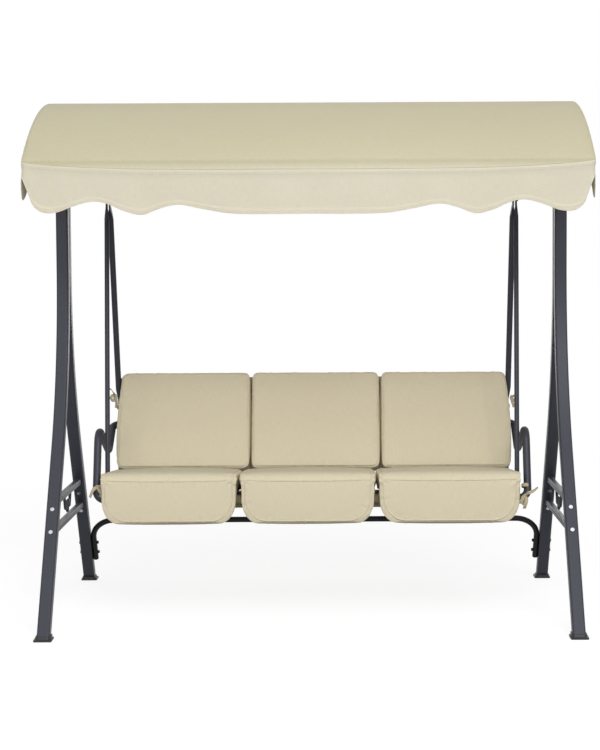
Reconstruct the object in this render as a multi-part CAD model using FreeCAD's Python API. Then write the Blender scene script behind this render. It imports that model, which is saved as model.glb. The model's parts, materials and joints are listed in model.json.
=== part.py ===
"""Three-seat garden swing bench with a tilting fabric canopy.

Units are millimetres. X runs along the bench, the front faces -Y and Z is up. The origin is on the ground at the
middle of the four feet. Every piece is written to parts/ as a STEP file of its own.
"""

import FreeCAD, Part
import math
import os

Vector = FreeCAD.Vector

# ---- driving dimensions -------------------------------------------------------------------------------------------

# stand: two A-frames of square tube
LEG_SIZE = 40.0                 # outside of the square leg tube
LEG_CORNER = 6.0                # outside corner radius of the leg tube
LEG_WALL = 1.5
LEG_OUT_X = 169.0               # middle of each A-frame outside the seat's side tube
FOOT_REACH_Y = 561.0            # leg centre line at the ground from the middle of the stand
LEG_LEAN = 33.4                 # degrees from upright, lower straight part
LEG_BEND_RADIUS = 1070.0
LEG_TOP_PITCH = 42.0            # between the two leg centre lines where they stand upright side by side
LEG_TOP_Z = 1457.0
LEG_JOINT_Z = 430.0             # where the upper leg slides over the lower leg
SPIGOT_LENGTH = 60.0
SLIDE_FIT = 0.2                 # clearance per side of tube pushed into tube or cap
FOOT_FLOOR = 4.0                # plastic under the tube end
FOOT_HEIGHT = 14.0
FOOT_WALL = 4.0
FOOT_FLARE = 4.0                # extra width of the sole on each side
SOLE_RIM = 2.0                  # sole above the floor of the cap

# side braces between the front and rear legs
BRACE_SIZE = 20.0
BRACE_WALL = 1.2
BRACE_UPPER_Z = 392.0
BRACE_LOWER_Z = 304.0
BRACE_PLATE = 4.0
BRACE_PLATE_WIDTH = 30.0
BRACE_PLATE_OVERHANG = 14.0     # plate below the lower bolt, along the leg
BRACE_PLATE_RISE = 3.0          # plate above the upper bar, along the leg
BRACE_BOLT_Z = (364.0, 297.5)   # where the bolts cross the leg's centre line
BRACE_CORNER = 3.0              # outside corner radius of the bars
SCROLL_ROD = 10.0
SCROLL_REACH = 70.4             # half the scroll's length along the bars
SCROLL_BEND = (8.8, 6.6)        # bend radii of the outer corners and of the three between
SCROLL_CORNERS = ((-1.0, 1.0), (-0.62, 0.25), (-0.28, 0.8), (0.0, 0.0), (0.28, 0.8), (0.62, 0.25), (1.0, 1.0))

# rear crossbar, bent down at both ends onto the rear legs
CROSSBAR_TUBE = 20.0
CROSSBAR_WALL = 1.5
CROSSBAR_Z = 238.0
CROSSBAR_BEND = 80.0
CROSSBAR_END_Z = 86.0
CROSSBAR_BOLT_Z = (150.0, 112.0)

# head of each A-frame and the beam between them
SHEET = 3.0                     # pressed steel of the head brackets
HEAD_WIDTH_Y = 92.0
HEAD_FLANGE_DROP = 100.0
EAR_WIDTH = 52.0
EAR_MARGIN = 14.0               # steel round the clamp bolt
EAR_CORNER = 17.3
LOW_HEAD_HEIGHT = 3.0           # heads of the bolts through the legs' heads
BEAM_SIZE = 40.0
BEAM_CORNER = 4.0
BEAM_WALL = 1.5
BEAM_DROP = 32.0                # middle of the beam below the tops of the legs
LEG_BOLT_DROP = (66.0, 88.0)    # bolts through the legs' heads below the tops of the legs

# fasteners
M8 = 8.0
M8_HEAD = 13.0
M8_HEAD_HEIGHT = 5.5
M8_NUT_HEIGHT = 6.5
M8_FLAT_HEAD_HEIGHT = 3.5
M8_THIN_NUT_HEIGHT = 4.5
M8_WASHER = 16.0
M8_WASHER_HEIGHT = 2.5
BOLT_TIP = 1.0                  # thread that shows beyond the nut
M6 = 6.0
M6_HEAD = 12.0
M6_HEAD_HEIGHT = 3.5
M6_NUT = 10.0
M6_NUT_HEIGHT = 5.0
BOLT_FIT = 0.1                  # radial clearance of a bolt in its hole

# swing hinge: brackets clamped round the beam, a bolt with a sleeve bush through the hanger tips
HINGE_OUT_X = 19.0              # hinge outside the seat's side tube
HINGE_DROP = 53.0               # hinge below the middle of the beam
HINGE_STRAP = 4.0
HINGE_STRAP_WIDTH = 34.0
CHEEK_ROUND = 15.3              # radius at the cheeks' lower corners
HINGE_BOLT = 10.0
HINGE_HEAD = 17.0
HINGE_HEAD_HEIGHT = 6.0
BUSH_WALL = 2.0
RUNNING_FIT = 0.05              # radial clearance of a bush on its bolt
SIDE_PLAY = 0.5                 # clearance beside each moving plate or tip
TIP_THICKNESS = 5.0
TIP_WIDTH = 26.0
TIP_LENGTH = 34.0               # flat part beyond the hole before the round tube begins
TIP_TAPER = 40.0
TIP_GAP = 4.0                   # between the two hanger tips, filled by the bush collar

# swing seat frame
SEAT_TUBE = 25.0
SEAT_WALL = 1.5
SEAT_FRONT_Y = -227.0
SEAT_FRONT_Z = 392.0
SEAT_SLOPE = 4.0                # degrees, falling to the back
BACK_RECLINE = 22.0             # degrees from upright
BACK_FOOT_Y = 141.0             # the back tube's centre line at BACK_FOOT_Z
BACK_FOOT_Z = 450.0
BACK_TOP_Z = 742.0
SEAT_BEND = 70.0
BACK_LOW_OFFSET = 94.5          # lower back rail from the corner, up the back
SLING_INSET = 4.0               # sling short of the side tubes
SUPPORT_TUBE = 16.0
SUPPORT_COUNT = 2
SLING_THICKNESS = 2.0

FRONT_HANGER_TUBE = 16.0
REAR_HANGER_TUBE = 20.0
FRONT_HANGER_Y = -153.0         # where the front hanger is bolted to the side tube
REAR_HANGER_BOLT_Z = 655.0      # height of the bolt through the back tube
TIP_BLEND = 0.5                 # how far the pressed taper stands out beyond the flat tip

# armrests
ARM_TUBE = 25.0
ARM_OUT_X = 43.0                # arm tube outside the seat's side tube, at the front
ARM_REAR_OUT_X = 36.0           # and at the rear
ARM_BENDS = (28.75, 48.0, 38.4, 21.25)      # front corner, top, dip and rear corner
ARM_TOP_Y = -149.0
ARM_TOP_Z = 620.0
ARM_DIP_Y = 68.0
ARM_DIP_Z = 520.0
ARM_REAR_Z = 598.0

# cushions
CUSHION_COUNT = 3
CUSHION_SPAN = 1318.0           # all cushions and the gaps between them; the width of the whole bench follows it
CUSHION_OVERHANG = 3.0          # cushion beyond the middle of the side tube
CUSHION_GAP = 9.0
SOFT_GAP = 0.3
SEAT_PAD = 76.0
SEAT_PAD_ROUND = 34.2           # radius along the top front edge
SEAT_PAD_CORNER = 48.0          # radius of the lower front corners
SEAT_PAD_REAR = 6.0             # pad behind which the rear rail's middle stays
FRONT_ROLL_REACH = 92.0         # the pad's front beyond the front rail
FRONT_ROLL_Z = 327.0            # underside of the rolled front
BACK_PAD = 70.0
BACK_PAD_ROUND = 16.0
BACK_PAD_FOOT = 63.0            # underside of the back pad from the corner, up the back

# canopy
CANOPY_CHORD = 1140.0
CANOPY_RISE = 142.0
CANOPY_TILT = 7.0               # degrees, front down, as it is stored
CANOPY_CHORD_RISE = 58.0        # middle of the chord above the tilt hinge
CANOPY_FABRIC = 2.0
VALANCE_DEPTH = 143.0
CANOPY_TUBE = 19.0
CANOPY_WALL = 1.2
RAIL_INSET = 2.0                # end rails inside the arc's ends
WELD_GAP = 0.1                  # between a square-cut tube end and the tube that it is welded to
TILT_RISE = 25.0                # tilt hinge above the tops of the legs
TILT_PLATE = 3.0
TILT_PLATE_WIDTH = 60.0
TILT_PLATE_NOSE = 15.0          # radius round the tilt bolt
TILT_PLATE_SIDE = 29.4          # half width at the shoulder
TILT_PLATE_SHOULDER = 24.0      # shoulder above the tilt bolt
TIE_OVERLAP = 1.8               # how far the plate's inner face stands in past the tie's outer side
SLOT_MARGIN = 2.0               # degrees of slot beyond each end of the tilt
TILT_RADIUS = 30.0              # clamp bolt from the tilt hinge
TILT_DOWN = 10.0                # degrees the canopy may still drop at the front
TILT_UP = 22.0                  # degrees it may rise
KNOB_THICKNESS = 16.0
KNOB_BODY_RADIUS = 14.4
KNOB_LOBES = 6
KNOB_LOBE_PITCH = 12.96         # lobe axes from the knob's axis
KNOB_LOBE_RADIUS = 5.04
KNOB_HUB = 3.0                  # plain hub below the lobes
KNOB_BORE = 11.2                # depth of thread in the knob
KNOB_BORE_SPARE = 3.0           # bore beyond the bolt's end

# room allowed for drills and cutting blocks
DRILL = 100.0
CUT = 1000.0

# ---- values that follow -------------------------------------------------------------------------------------------

LEAN = math.radians(LEG_LEAN)
TOP_Y = LEG_TOP_PITCH / 2
STRAIGHT_LENGTH = (FOOT_REACH_Y - TOP_Y - LEG_BEND_RADIUS * (1 - math.cos(LEAN))) / math.sin(LEAN)
BEND_START = Vector(0, -FOOT_REACH_Y + STRAIGHT_LENGTH * math.sin(LEAN), STRAIGHT_LENGTH * math.cos(LEAN))
BEND_END_Z = BEND_START.z + LEG_BEND_RADIUS * math.sin(LEAN)
BEAM_Z = LEG_TOP_Z - BEAM_DROP
LEG_BOLT_Z = [LEG_TOP_Z - drop for drop in LEG_BOLT_DROP]
HINGE_Z = BEAM_Z - HINGE_DROP
TILT_Z = LEG_TOP_Z + TILT_RISE
CANOPY_CHORD_Z = TILT_Z + CANOPY_CHORD_RISE
SEAT_SIDE_X = CUSHION_SPAN / 2 - CUSHION_OVERHANG
ARM_X = SEAT_SIDE_X + ARM_OUT_X
ARM_REAR_X = SEAT_SIDE_X + ARM_REAR_OUT_X
HINGE_X = SEAT_SIDE_X + HINGE_OUT_X
LEG_CENTRE_X = SEAT_SIDE_X + LEG_OUT_X
LEG_INNER_X = LEG_CENTRE_X - LEG_SIZE / 2
LEG_OUTER_X = LEG_CENTRE_X + LEG_SIZE / 2
TILT_PLATE_X = LEG_OUTER_X + SHEET + SIDE_PLAY
ARCH_X = TILT_PLATE_X - TIE_OVERLAP + CANOPY_TUBE / 2
CANOPY_HALF_WIDTH = ARCH_X + CANOPY_TUBE / 2 + SOFT_GAP + CANOPY_FABRIC
SIDES = {"left": -1, "right": 1}
ENDS = {"front": -1, "rear": 1}

pieces = {}


# ---- general shapes -----------------------------------------------------------------------------------------------

def keep(name, shape):
    """Store a finished piece under its name."""
    pieces[name] = shape


def mirrored(shape, side=1, end=1):
    """A shape drawn at +X and +Y, turned to the given side and end."""
    if side < 0:
        shape = shape.mirror(Vector(0, 0, 0), Vector(1, 0, 0))
    if end < 0:
        shape = shape.mirror(Vector(0, 0, 0), Vector(0, 1, 0))
    return shape


def rod(start, axis, radius, length):
    """A round bar from a point along an axis."""
    return Part.makeCylinder(radius, length, start, axis)


def block(x, y, z):
    """A box between pairs of coordinates."""
    return Part.makeBox(x[1] - x[0], y[1] - y[0], z[1] - z[0], Vector(x[0], y[0], z[0]))


def hexagon(centre, axis, across, height):
    """A hexagon head or nut standing on a point."""
    corner = across / math.sqrt(3)
    points = [Vector(corner * math.cos(math.radians(60 * k)), corner * math.sin(math.radians(60 * k)), 0)
              for k in range(7)]
    prism = Part.Face(Part.makePolygon(points)).extrude(Vector(0, 0, height))
    prism.Placement = FreeCAD.Placement(centre, FreeCAD.Rotation(Vector(0, 0, 1), axis))
    return prism


def bolt(head_face, axis, shank, grip, head, head_height, nut=0, nut_height=0):
    """A bolt whose head lies on head_face; axis points from the head into the work."""
    start = head_face - axis * head_height
    piece = rod(start, axis, shank / 2, head_height + grip + nut_height + BOLT_TIP)
    dome = rod(start, axis, head / 2, head_height)
    piece = piece.fuse(dome)
    if nut:
        piece = piece.fuse(hexagon(head_face + axis * grip, axis, nut, nut_height))
    return piece.removeSplitter()


def route(points, radii):
    """A wire of straight runs joined by tangent arcs, one radius for each inner point."""
    edges = []
    last = points[0]
    for before, corner, after, radius in zip(points, points[1:], points[2:], radii):
        back = (before - corner).normalize()
        ahead = (after - corner).normalize()
        half = back.getAngle(ahead) / 2
        trim = radius / math.tan(half)
        arc_in = corner + back * trim
        arc_out = corner + ahead * trim
        middle = (back + ahead).normalize() * (radius / math.sin(half) - radius)
        if (arc_in - last).Length > 1e-6:
            edges.append(Part.LineSegment(last, arc_in).toShape())
        edges.append(Part.Arc(arc_in, corner + middle, arc_out).toShape())
        last = arc_out
    edges.append(Part.LineSegment(last, points[-1]).toShape())
    return Part.Wire(edges)


def round_tube(path, diameter, wall):
    """A round tube along a wire."""
    start = path.Vertexes[0].Point
    direction = path.Edges[0].tangentAt(path.Edges[0].FirstParameter)
    shells = []
    for radius in (diameter / 2, diameter / 2 - wall):
        circle = Part.Wire(Part.makeCircle(radius, start, direction))
        shells.append(path.makePipeShell([circle], True, False))
    return shells[0].cut(shells[1])


def rounded_square(size, corner, centre, normal):
    """A square outline with round corners, its sides along X and across the normal."""
    half = size / 2
    inner = half - corner
    diagonal = inner + corner * math.sqrt(0.5)
    edges = []
    for turn in range(4):
        spin = FreeCAD.Rotation(Vector(0, 0, 1), 90 * turn)
        a, b = Vector(half, -inner, 0), Vector(half, inner, 0)
        c, d = Vector(diagonal, diagonal, 0), Vector(inner, half, 0)
        edges.append(Part.LineSegment(spin.multVec(a), spin.multVec(b)).toShape())
        edges.append(Part.Arc(spin.multVec(b), spin.multVec(c), spin.multVec(d)).toShape())
    wire = Part.Wire(edges)
    wire.Placement = FreeCAD.Placement(centre, FreeCAD.Rotation(Vector(0, 0, 1), normal))
    return wire


def square_tube(path, size, corner, wall):
    """A square tube along a wire in a plane of constant X; a wall of None gives a solid bar."""
    start = path.Vertexes[0].Point
    direction = path.Edges[0].tangentAt(path.Edges[0].FirstParameter)
    outer = path.makePipeShell([rounded_square(size, corner, start, direction)], True, False)
    if wall is None:
        return outer
    profile = rounded_square(size - 2 * wall, corner - wall, start, direction)
    return outer.cut(path.makePipeShell([profile], True, False))


def leg_point(z):
    """A point on the straight part of the front leg's centre line, on X = 0."""
    return Vector(0, -FOOT_REACH_Y + z * math.tan(LEAN), z)


LEG_UP = Vector(0, math.sin(LEAN), math.cos(LEAN))
LEG_IN = Vector(0, math.cos(LEAN), -math.sin(LEAN))


# ---- stand --------------------------------------------------------------------------------------------------------

def leg_solid(size, low, high_part):
    """A solid bar of the front leg's course, from height low up to the joint, or on to the head."""
    joint = leg_point(LEG_JOINT_Z)
    if not high_part:
        path = Part.Wire([Part.LineSegment(leg_point(low), joint).toShape()])
        return square_tube(path, size, LEG_CORNER - (LEG_SIZE - size) / 2, None)
    centre = BEND_START - LEG_IN * LEG_BEND_RADIUS
    half = LEAN / 2
    middle = centre + Vector(0, math.cos(half), -math.sin(half)) * LEG_BEND_RADIUS
    bend_end = Vector(0, -TOP_Y, BEND_END_Z)
    path = Part.Wire([Part.LineSegment(joint, BEND_START).toShape(),
                      Part.Arc(BEND_START, middle, bend_end).toShape(),
                      Part.LineSegment(bend_end, Vector(0, -TOP_Y, LEG_TOP_Z)).toShape()])
    return square_tube(path, size, LEG_CORNER - (LEG_SIZE - size) / 2, None)


def head_bolt_hole(z):
    """A bolt hole straight through the front leg of a pair."""
    start = Vector(-LEG_SIZE, -TOP_Y, z)
    return rod(start, Vector(1, 0, 0), M8 / 2 + BOLT_FIT, 2 * LEG_SIZE)


def brace_bolt_centres():
    """Where the two brace bolts cross the front leg's centre line."""
    return [leg_point(z) for z in BRACE_BOLT_Z]


def build_legs():
    """Lower legs with spigots, upper legs with the bend, and foot caps."""
    bore = LEG_SIZE - 2 * LEG_WALL
    below = -2 * LEG_SIZE
    lower = leg_solid(LEG_SIZE, below, False)
    joint = leg_point(LEG_JOINT_Z)
    spigot_size = bore - 2 * SLIDE_FIT
    spigot_path = Part.Wire([Part.LineSegment(joint, joint + LEG_UP * SPIGOT_LENGTH).toShape()])
    spigot = square_tube(spigot_path, spigot_size, LEG_CORNER - LEG_WALL - SLIDE_FIT, None)
    hollow_size = spigot_size - 2 * LEG_WALL
    hollow_path = Part.Wire([Part.LineSegment(leg_point(below), joint + LEG_UP * SPIGOT_LENGTH).toShape()])
    hollow = square_tube(hollow_path, hollow_size, LEG_CORNER - 2 * LEG_WALL - SLIDE_FIT, None)
    lower = lower.fuse(spigot).cut(hollow)
    upper = leg_solid(LEG_SIZE, 0, True).cut(leg_solid(bore, 0, True))
    ground = block((-CUT, CUT), (-CUT, 0), (-CUT, FOOT_FLOOR))
    lower = lower.cut(ground)
    for centre in brace_bolt_centres():
        lower = lower.cut(rod(centre - LEG_IN * LEG_SIZE, LEG_IN, M8 / 2 + BOLT_FIT, 2 * LEG_SIZE))
    for z in LEG_BOLT_Z:
        upper = upper.cut(head_bolt_hole(z))
    rear_lower = mirrored(lower, 1, -1)
    for z in CROSSBAR_BOLT_Z:
        at = leg_point(z)
        start = Vector(-LEG_SIZE, -at.y, z)
        rear_lower = rear_lower.cut(rod(start, Vector(1, 0, 0), M6 / 2 + BOLT_FIT, 2 * LEG_SIZE))
    cap = foot_cap()
    caps = []
    for side, sign in SIDES.items():
        shift = Vector(sign * LEG_CENTRE_X, 0, 0)
        keep(f"front_lower_leg_{side}", moved(lower, shift))
        keep(f"rear_lower_leg_{side}", moved(mirrored(rear_lower, sign), shift))
        keep(f"front_upper_leg_{side}", moved(upper, shift))
        keep(f"rear_upper_leg_{side}", moved(mirrored(upper, 1, -1), shift))
        caps += [moved(cap, shift), moved(mirrored(cap, 1, -1), shift)]
    keep("foot_caps", Part.makeCompound(caps))


def moved(shape, by):
    """A moved copy of a shape."""
    copy = shape.copy()
    copy.translate(by)
    return copy


def foot_cap():
    """A plastic cap: a collar that leans with the leg on a wider flat sole."""
    reach = FOOT_HEIGHT * 3
    path = Part.Wire([Part.LineSegment(leg_point(-reach), leg_point(reach)).toShape()])
    collar = square_tube(path, LEG_SIZE + 2 * FOOT_WALL, LEG_CORNER + FOOT_WALL, None)
    collar = collar.common(block((-CUT, CUT), (-CUT, 0), (0, FOOT_HEIGHT)))
    half_x = LEG_SIZE / 2 + FOOT_WALL + FOOT_FLARE
    half_y = (LEG_SIZE / 2 + FOOT_WALL) / math.cos(LEAN) + FOOT_FLARE
    sole = block((-half_x, half_x), (-FOOT_REACH_Y - half_y, -FOOT_REACH_Y + half_y), (0, FOOT_FLOOR + SOLE_RIM))
    sole = sole.makeFillet(LEG_CORNER, [e for e in sole.Edges if abs(e.tangentAt(0).z) > 0.9])
    socket = square_tube(path, LEG_SIZE + 2 * SLIDE_FIT, LEG_CORNER + SLIDE_FIT, None)
    socket = socket.common(block((-CUT, CUT), (-CUT, 0), (FOOT_FLOOR, CUT)))
    return collar.fuse(sole).removeSplitter().cut(socket)


def build_side_braces():
    """Two bars between welded end plates on each side, with a scroll of round rod between the bars."""
    plate_face = LEG_SIZE / 2
    bar_top = leg_point(BRACE_UPPER_Z + BRACE_SIZE / 2 + plate_face * math.sin(LEAN))
    outline = [brace_bolt_centres()[-1] + LEG_IN * plate_face - LEG_UP * BRACE_PLATE_OVERHANG,
               bar_top + LEG_IN * plate_face + LEG_UP * BRACE_PLATE_RISE]
    plate = Part.Face(Part.makePolygon([
        outline[0], outline[1], outline[1] + LEG_IN * BRACE_PLATE, outline[0] + LEG_IN * BRACE_PLATE, outline[0]]))
    plate.translate(Vector(-BRACE_PLATE_WIDTH / 2, 0, 0))
    plate = plate.extrude(Vector(BRACE_PLATE_WIDTH, 0, 0))
    for centre in brace_bolt_centres():
        plate = plate.cut(rod(centre, LEG_IN, M8 / 2 + BOLT_FIT, 2 * LEG_SIZE))
    frame = plate.fuse(mirrored(plate, 1, -1))
    inner_low = outline[0] + LEG_IN * BRACE_PLATE
    slanted = [inner_low - LEG_UP * BRACE_SIZE, inner_low + LEG_UP * LEG_JOINT_Z]
    beyond = [slanted[0], slanted[1], Vector(0, -CUT, slanted[1].z), Vector(0, -CUT, slanted[0].z), slanted[0]]
    beyond_plates = Part.Face(Part.makePolygon(beyond))
    beyond_plates.translate(Vector(-BRACE_SIZE, 0, 0))
    beyond_plates = beyond_plates.extrude(Vector(2 * BRACE_SIZE, 0, 0))
    for z in (BRACE_UPPER_Z, BRACE_LOWER_Z):
        reach = leg_point(z).y
        path = Part.Wire([Part.LineSegment(Vector(0, reach, z), Vector(0, -reach, z)).toShape()])
        bar = square_tube(path, BRACE_SIZE, BRACE_CORNER, BRACE_WALL)
        for end in ENDS.values():
            bar = bar.cut(mirrored(beyond_plates, 1, -end))
        frame = frame.fuse(bar)
    frame = frame.fuse(scroll_rod())
    bolts = []
    for side, sign in SIDES.items():
        shift = Vector(sign * LEG_CENTRE_X, 0, 0)
        keep(f"side_brace_{side}", moved(frame, shift))
        for end in (1, -1):
            for centre in brace_bolt_centres():
                grip = LEG_SIZE + BRACE_PLATE
                piece = bolt(centre - LEG_IN * plate_face, LEG_IN, M8, grip, M8_HEAD, M8_FLAT_HEAD_HEIGHT,
                             M8_HEAD, M8_NUT_HEIGHT)
                bolts.append(moved(mirrored(piece, 1, end), shift))
    keep("brace_bolts", Part.makeCompound(bolts))


def scroll_rod():
    """A round rod bent to two crescents between the bars, touching both."""
    upper = BRACE_UPPER_Z - BRACE_SIZE / 2
    lower = BRACE_LOWER_Z + BRACE_SIZE / 2
    points = [Vector(0, SCROLL_REACH * along, lower + (upper - lower) * rise) for along, rise in SCROLL_CORNERS]
    outer_bend, inner_bend = SCROLL_BEND
    path = route(points, [outer_bend, inner_bend, inner_bend, inner_bend, outer_bend])
    circle = Part.Wire(Part.makeCircle(SCROLL_ROD / 2, points[0], points[1] - points[0]))
    rod_solid = path.makePipeShell([circle], True, False)
    return rod_solid.common(block((-CUT, CUT), (-CUT, CUT), (lower, upper)))


def build_crossbar():
    """The rear tie: a round tube across the back, bent down flat against the rear legs' inner faces."""
    x = LEG_INNER_X - CROSSBAR_TUBE / 2
    top = Vector(x, -leg_point(CROSSBAR_Z).y, CROSSBAR_Z)
    foot = Vector(x, -leg_point(CROSSBAR_END_Z).y, CROSSBAR_END_Z)
    other_top, other_foot = Vector(-x, top.y, top.z), Vector(-x, foot.y, foot.z)
    path = route([foot, top, other_top, other_foot], [CROSSBAR_BEND, CROSSBAR_BEND])
    tube = round_tube(path, CROSSBAR_TUBE, CROSSBAR_WALL)
    bolts = []
    for z in CROSSBAR_BOLT_Z:
        y = -leg_point(z).y
        for sign in (1, -1):
            hole = rod(Vector(sign * (x + CROSSBAR_TUBE), y, z), Vector(-sign, 0, 0), M6 / 2 + BOLT_FIT,
                       3 * CROSSBAR_TUBE)
            tube = tube.cut(hole)
            grip = LEG_SIZE + CROSSBAR_TUBE
            bolts.append(bolt(Vector(sign * LEG_OUTER_X, y, z), Vector(-sign, 0, 0), M6, grip, M6_HEAD,
                              M6_HEAD_HEIGHT, M6_NUT, M6_NUT_HEIGHT))
    keep("rear_crossbar", tube)
    keep("crossbar_bolts", Part.makeCompound(bolts))


def build_head():
    """The saddle over each pair of legs with its ear for the canopy, the beam and the head bolts."""
    inner = LEG_INNER_X
    outer = LEG_OUTER_X
    half = HEAD_WIDTH_Y / 2
    top = LEG_TOP_Z + SHEET
    web = block((inner - SHEET, outer + SHEET), (-half, half), (LEG_TOP_Z, top))
    inside = block((inner - SHEET, inner), (-half, half), (LEG_TOP_Z - HEAD_FLANGE_DROP, top))
    outside = block((outer, outer + SHEET), (-half, half), (LEG_TOP_Z - HEAD_FLANGE_DROP, top))
    ear = block((outer, outer + SHEET), (-EAR_WIDTH / 2, EAR_WIDTH / 2), (top, clamp_point().z + EAR_MARGIN))
    ear = ear.makeFillet(EAR_CORNER, [e for e in ear.Edges
                                      if abs(e.tangentAt(0).x) > 0.9 and e.CenterOfMass.z > top + 1])
    saddle = web.fuse([inside, outside, ear]).removeSplitter()
    bolts = []
    for z in LEG_BOLT_Z:
        for sign in (1, -1):
            start = Vector(outer + SHEET, sign * TOP_Y, z)
            saddle = saddle.cut(rod(start + Vector(SHEET, 0, 0), Vector(-1, 0, 0), M8 / 2 + BOLT_FIT, DRILL))
            bolts.append(bolt(start, Vector(-1, 0, 0), M8, LEG_SIZE + 2 * SHEET, M8_HEAD, LOW_HEAD_HEIGHT,
                              M8_HEAD, M8_NUT_HEIGHT))
    for at in (Vector(outer, 0, TILT_Z), clamp_point()):
        saddle = saddle.cut(rod(Vector(outer - SHEET, at.y, at.z), Vector(1, 0, 0), M8 / 2 + BOLT_FIT, DRILL))
    beam_half = inner - SHEET
    path = Part.Wire([Part.LineSegment(Vector(-beam_half, 0, BEAM_Z), Vector(beam_half, 0, BEAM_Z)).toShape()])
    beam = square_tube(path, BEAM_SIZE, BEAM_CORNER, BEAM_WALL)
    keep("top_beam", beam)
    for side, sign in SIDES.items():
        keep(f"head_bracket_{side}", mirrored(saddle, sign))
    keep("head_bolts", Part.makeCompound(bolts + [mirrored(piece, -1) for piece in bolts]))


def clamp_point():
    """The clamp bolt, straight above the tilt hinge."""
    return Vector(0, 0, TILT_Z + TILT_RADIUS)


# ---- swing hinges -------------------------------------------------------------------------------------------------

HINGE = Vector(0, 0, HINGE_Z)
TIP_PITCH = TIP_THICKNESS + TIP_GAP
CHEEK_INSIDE = (TIP_THICKNESS + TIP_PITCH) / 2 + SIDE_PLAY
BUSH_RADIUS = HINGE_BOLT / 2 + RUNNING_FIT + BUSH_WALL
COLLAR_RADIUS = TIP_WIDTH / 2 - 1


def build_hinge_brackets():
    """A bracket round the beam at each side, with two cheeks, a bolt between them and a sleeve bush on the bolt."""
    beam = BEAM_SIZE / 2
    half = HINGE_STRAP_WIDTH / 2
    cheek = CHEEK_INSIDE + HINGE_STRAP
    low = HINGE_Z - half
    bottom = BEAM_Z - beam
    outer = block((-cheek, cheek), (-beam - HINGE_STRAP, beam + HINGE_STRAP), (bottom - HINGE_STRAP, BEAM_Z + beam
                                                                               + HINGE_STRAP))
    outer = outer.cut(block((-cheek, cheek), (-beam, beam), (bottom, BEAM_Z + beam)))
    cheeks = block((-cheek, cheek), (-half, half), (low, bottom - HINGE_STRAP))
    cheeks = cheeks.makeFillet(CHEEK_ROUND, [e for e in cheeks.Edges
                                             if abs(e.tangentAt(0).x) > 0.9 and e.CenterOfMass.z < low + 1])
    cheeks = cheeks.cut(block((-CHEEK_INSIDE, CHEEK_INSIDE), (-half, half), (low - 1, bottom - HINGE_STRAP)))
    bracket = outer.fuse(cheeks).removeSplitter()
    bracket = bracket.cut(rod(HINGE - Vector(DRILL, 0, 0), Vector(1, 0, 0), HINGE_BOLT / 2 + BOLT_FIT, 2 * DRILL))
    pin = bolt(HINGE + Vector(cheek, 0, 0), Vector(-1, 0, 0), HINGE_BOLT, 2 * cheek, HINGE_HEAD,
               HINGE_HEAD_HEIGHT, HINGE_HEAD, M8_NUT_HEIGHT)
    length = 2 * (CHEEK_INSIDE - SIDE_PLAY)
    bush = rod(HINGE - Vector(length / 2, 0, 0), Vector(1, 0, 0), BUSH_RADIUS, length)
    collar = rod(HINGE - Vector(TIP_GAP / 2, 0, 0), Vector(1, 0, 0), COLLAR_RADIUS, TIP_GAP)
    bore = rod(HINGE - Vector(DRILL, 0, 0), Vector(1, 0, 0), HINGE_BOLT / 2 + RUNNING_FIT, 2 * DRILL)
    bush = bush.fuse(collar).cut(bore)
    pins, bushes = [], []
    for side, sign in SIDES.items():
        shift = Vector(sign * HINGE_X, 0, 0)
        keep(f"hinge_bracket_{side}", moved(mirrored(bracket, sign), shift))
        pins.append(moved(mirrored(pin, sign), shift))
        bushes.append(moved(mirrored(bush, sign), shift))
    keep("hinge_bolts", Part.makeCompound(pins))
    keep("hinge_bushes", Part.makeCompound(bushes))


# ---- swing seat frame ---------------------------------------------------------------------------------------------

SLOPE = math.radians(SEAT_SLOPE)
RECLINE = math.radians(BACK_RECLINE)
SEAT_DIRECTION = Vector(0, math.cos(SLOPE), -math.sin(SLOPE))
SEAT_NORMAL = Vector(0, math.sin(SLOPE), math.cos(SLOPE))
BACK_DIRECTION = Vector(0, math.sin(RECLINE), math.cos(RECLINE))
BACK_NORMAL = Vector(0, -math.cos(RECLINE), math.sin(RECLINE))


def seat_point(y):
    """A point of the seat tubes' centre plane."""
    return Vector(0, y, SEAT_FRONT_Z - (y - SEAT_FRONT_Y) * math.tan(SLOPE))


def back_point(z):
    """A point of the back tubes' centre plane."""
    return Vector(0, BACK_FOOT_Y + (z - BACK_FOOT_Z) * math.tan(RECLINE), z)


def frame_corner():
    """Where the seat plane meets the back plane."""
    gap = seat_point(BACK_FOOT_Y) - back_point(BACK_FOOT_Z)
    drop = gap.z / (math.cos(RECLINE) + math.tan(SLOPE) * math.sin(RECLINE))
    return back_point(BACK_FOOT_Z) + BACK_DIRECTION * drop


CORNER = frame_corner()


def at_x(point, x):
    """The same point at another X."""
    return Vector(x, point.y, point.z)


def cross_tube(point, half_length, diameter, wall):
    """A round tube across the bench."""
    path = Part.Wire([Part.LineSegment(at_x(point, -half_length), at_x(point, half_length)).toShape()])
    return round_tube(path, diameter, wall)


def cross_bar(point, half_length, diameter):
    """A solid bar across the bench, used to shape what meets a tube."""
    return rod(at_x(point, -half_length), Vector(1, 0, 0), diameter / 2, 2 * half_length)


def sweep_solid(path, diameter):
    """A solid round bar along a wire."""
    direction = path.Edges[0].tangentAt(path.Edges[0].FirstParameter)
    circle = Part.Wire(Part.makeCircle(diameter / 2, path.Vertexes[0].Point, direction))
    return path.makePipeShell([circle], True, False)


FRONT_RAIL = seat_point(SEAT_FRONT_Y)
REAR_RAIL = seat_point(CORNER.y - SEAT_BEND)
BACK_TOP = back_point(BACK_TOP_Z)
BACK_LOW = CORNER + BACK_DIRECTION * BACK_LOW_OFFSET


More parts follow.
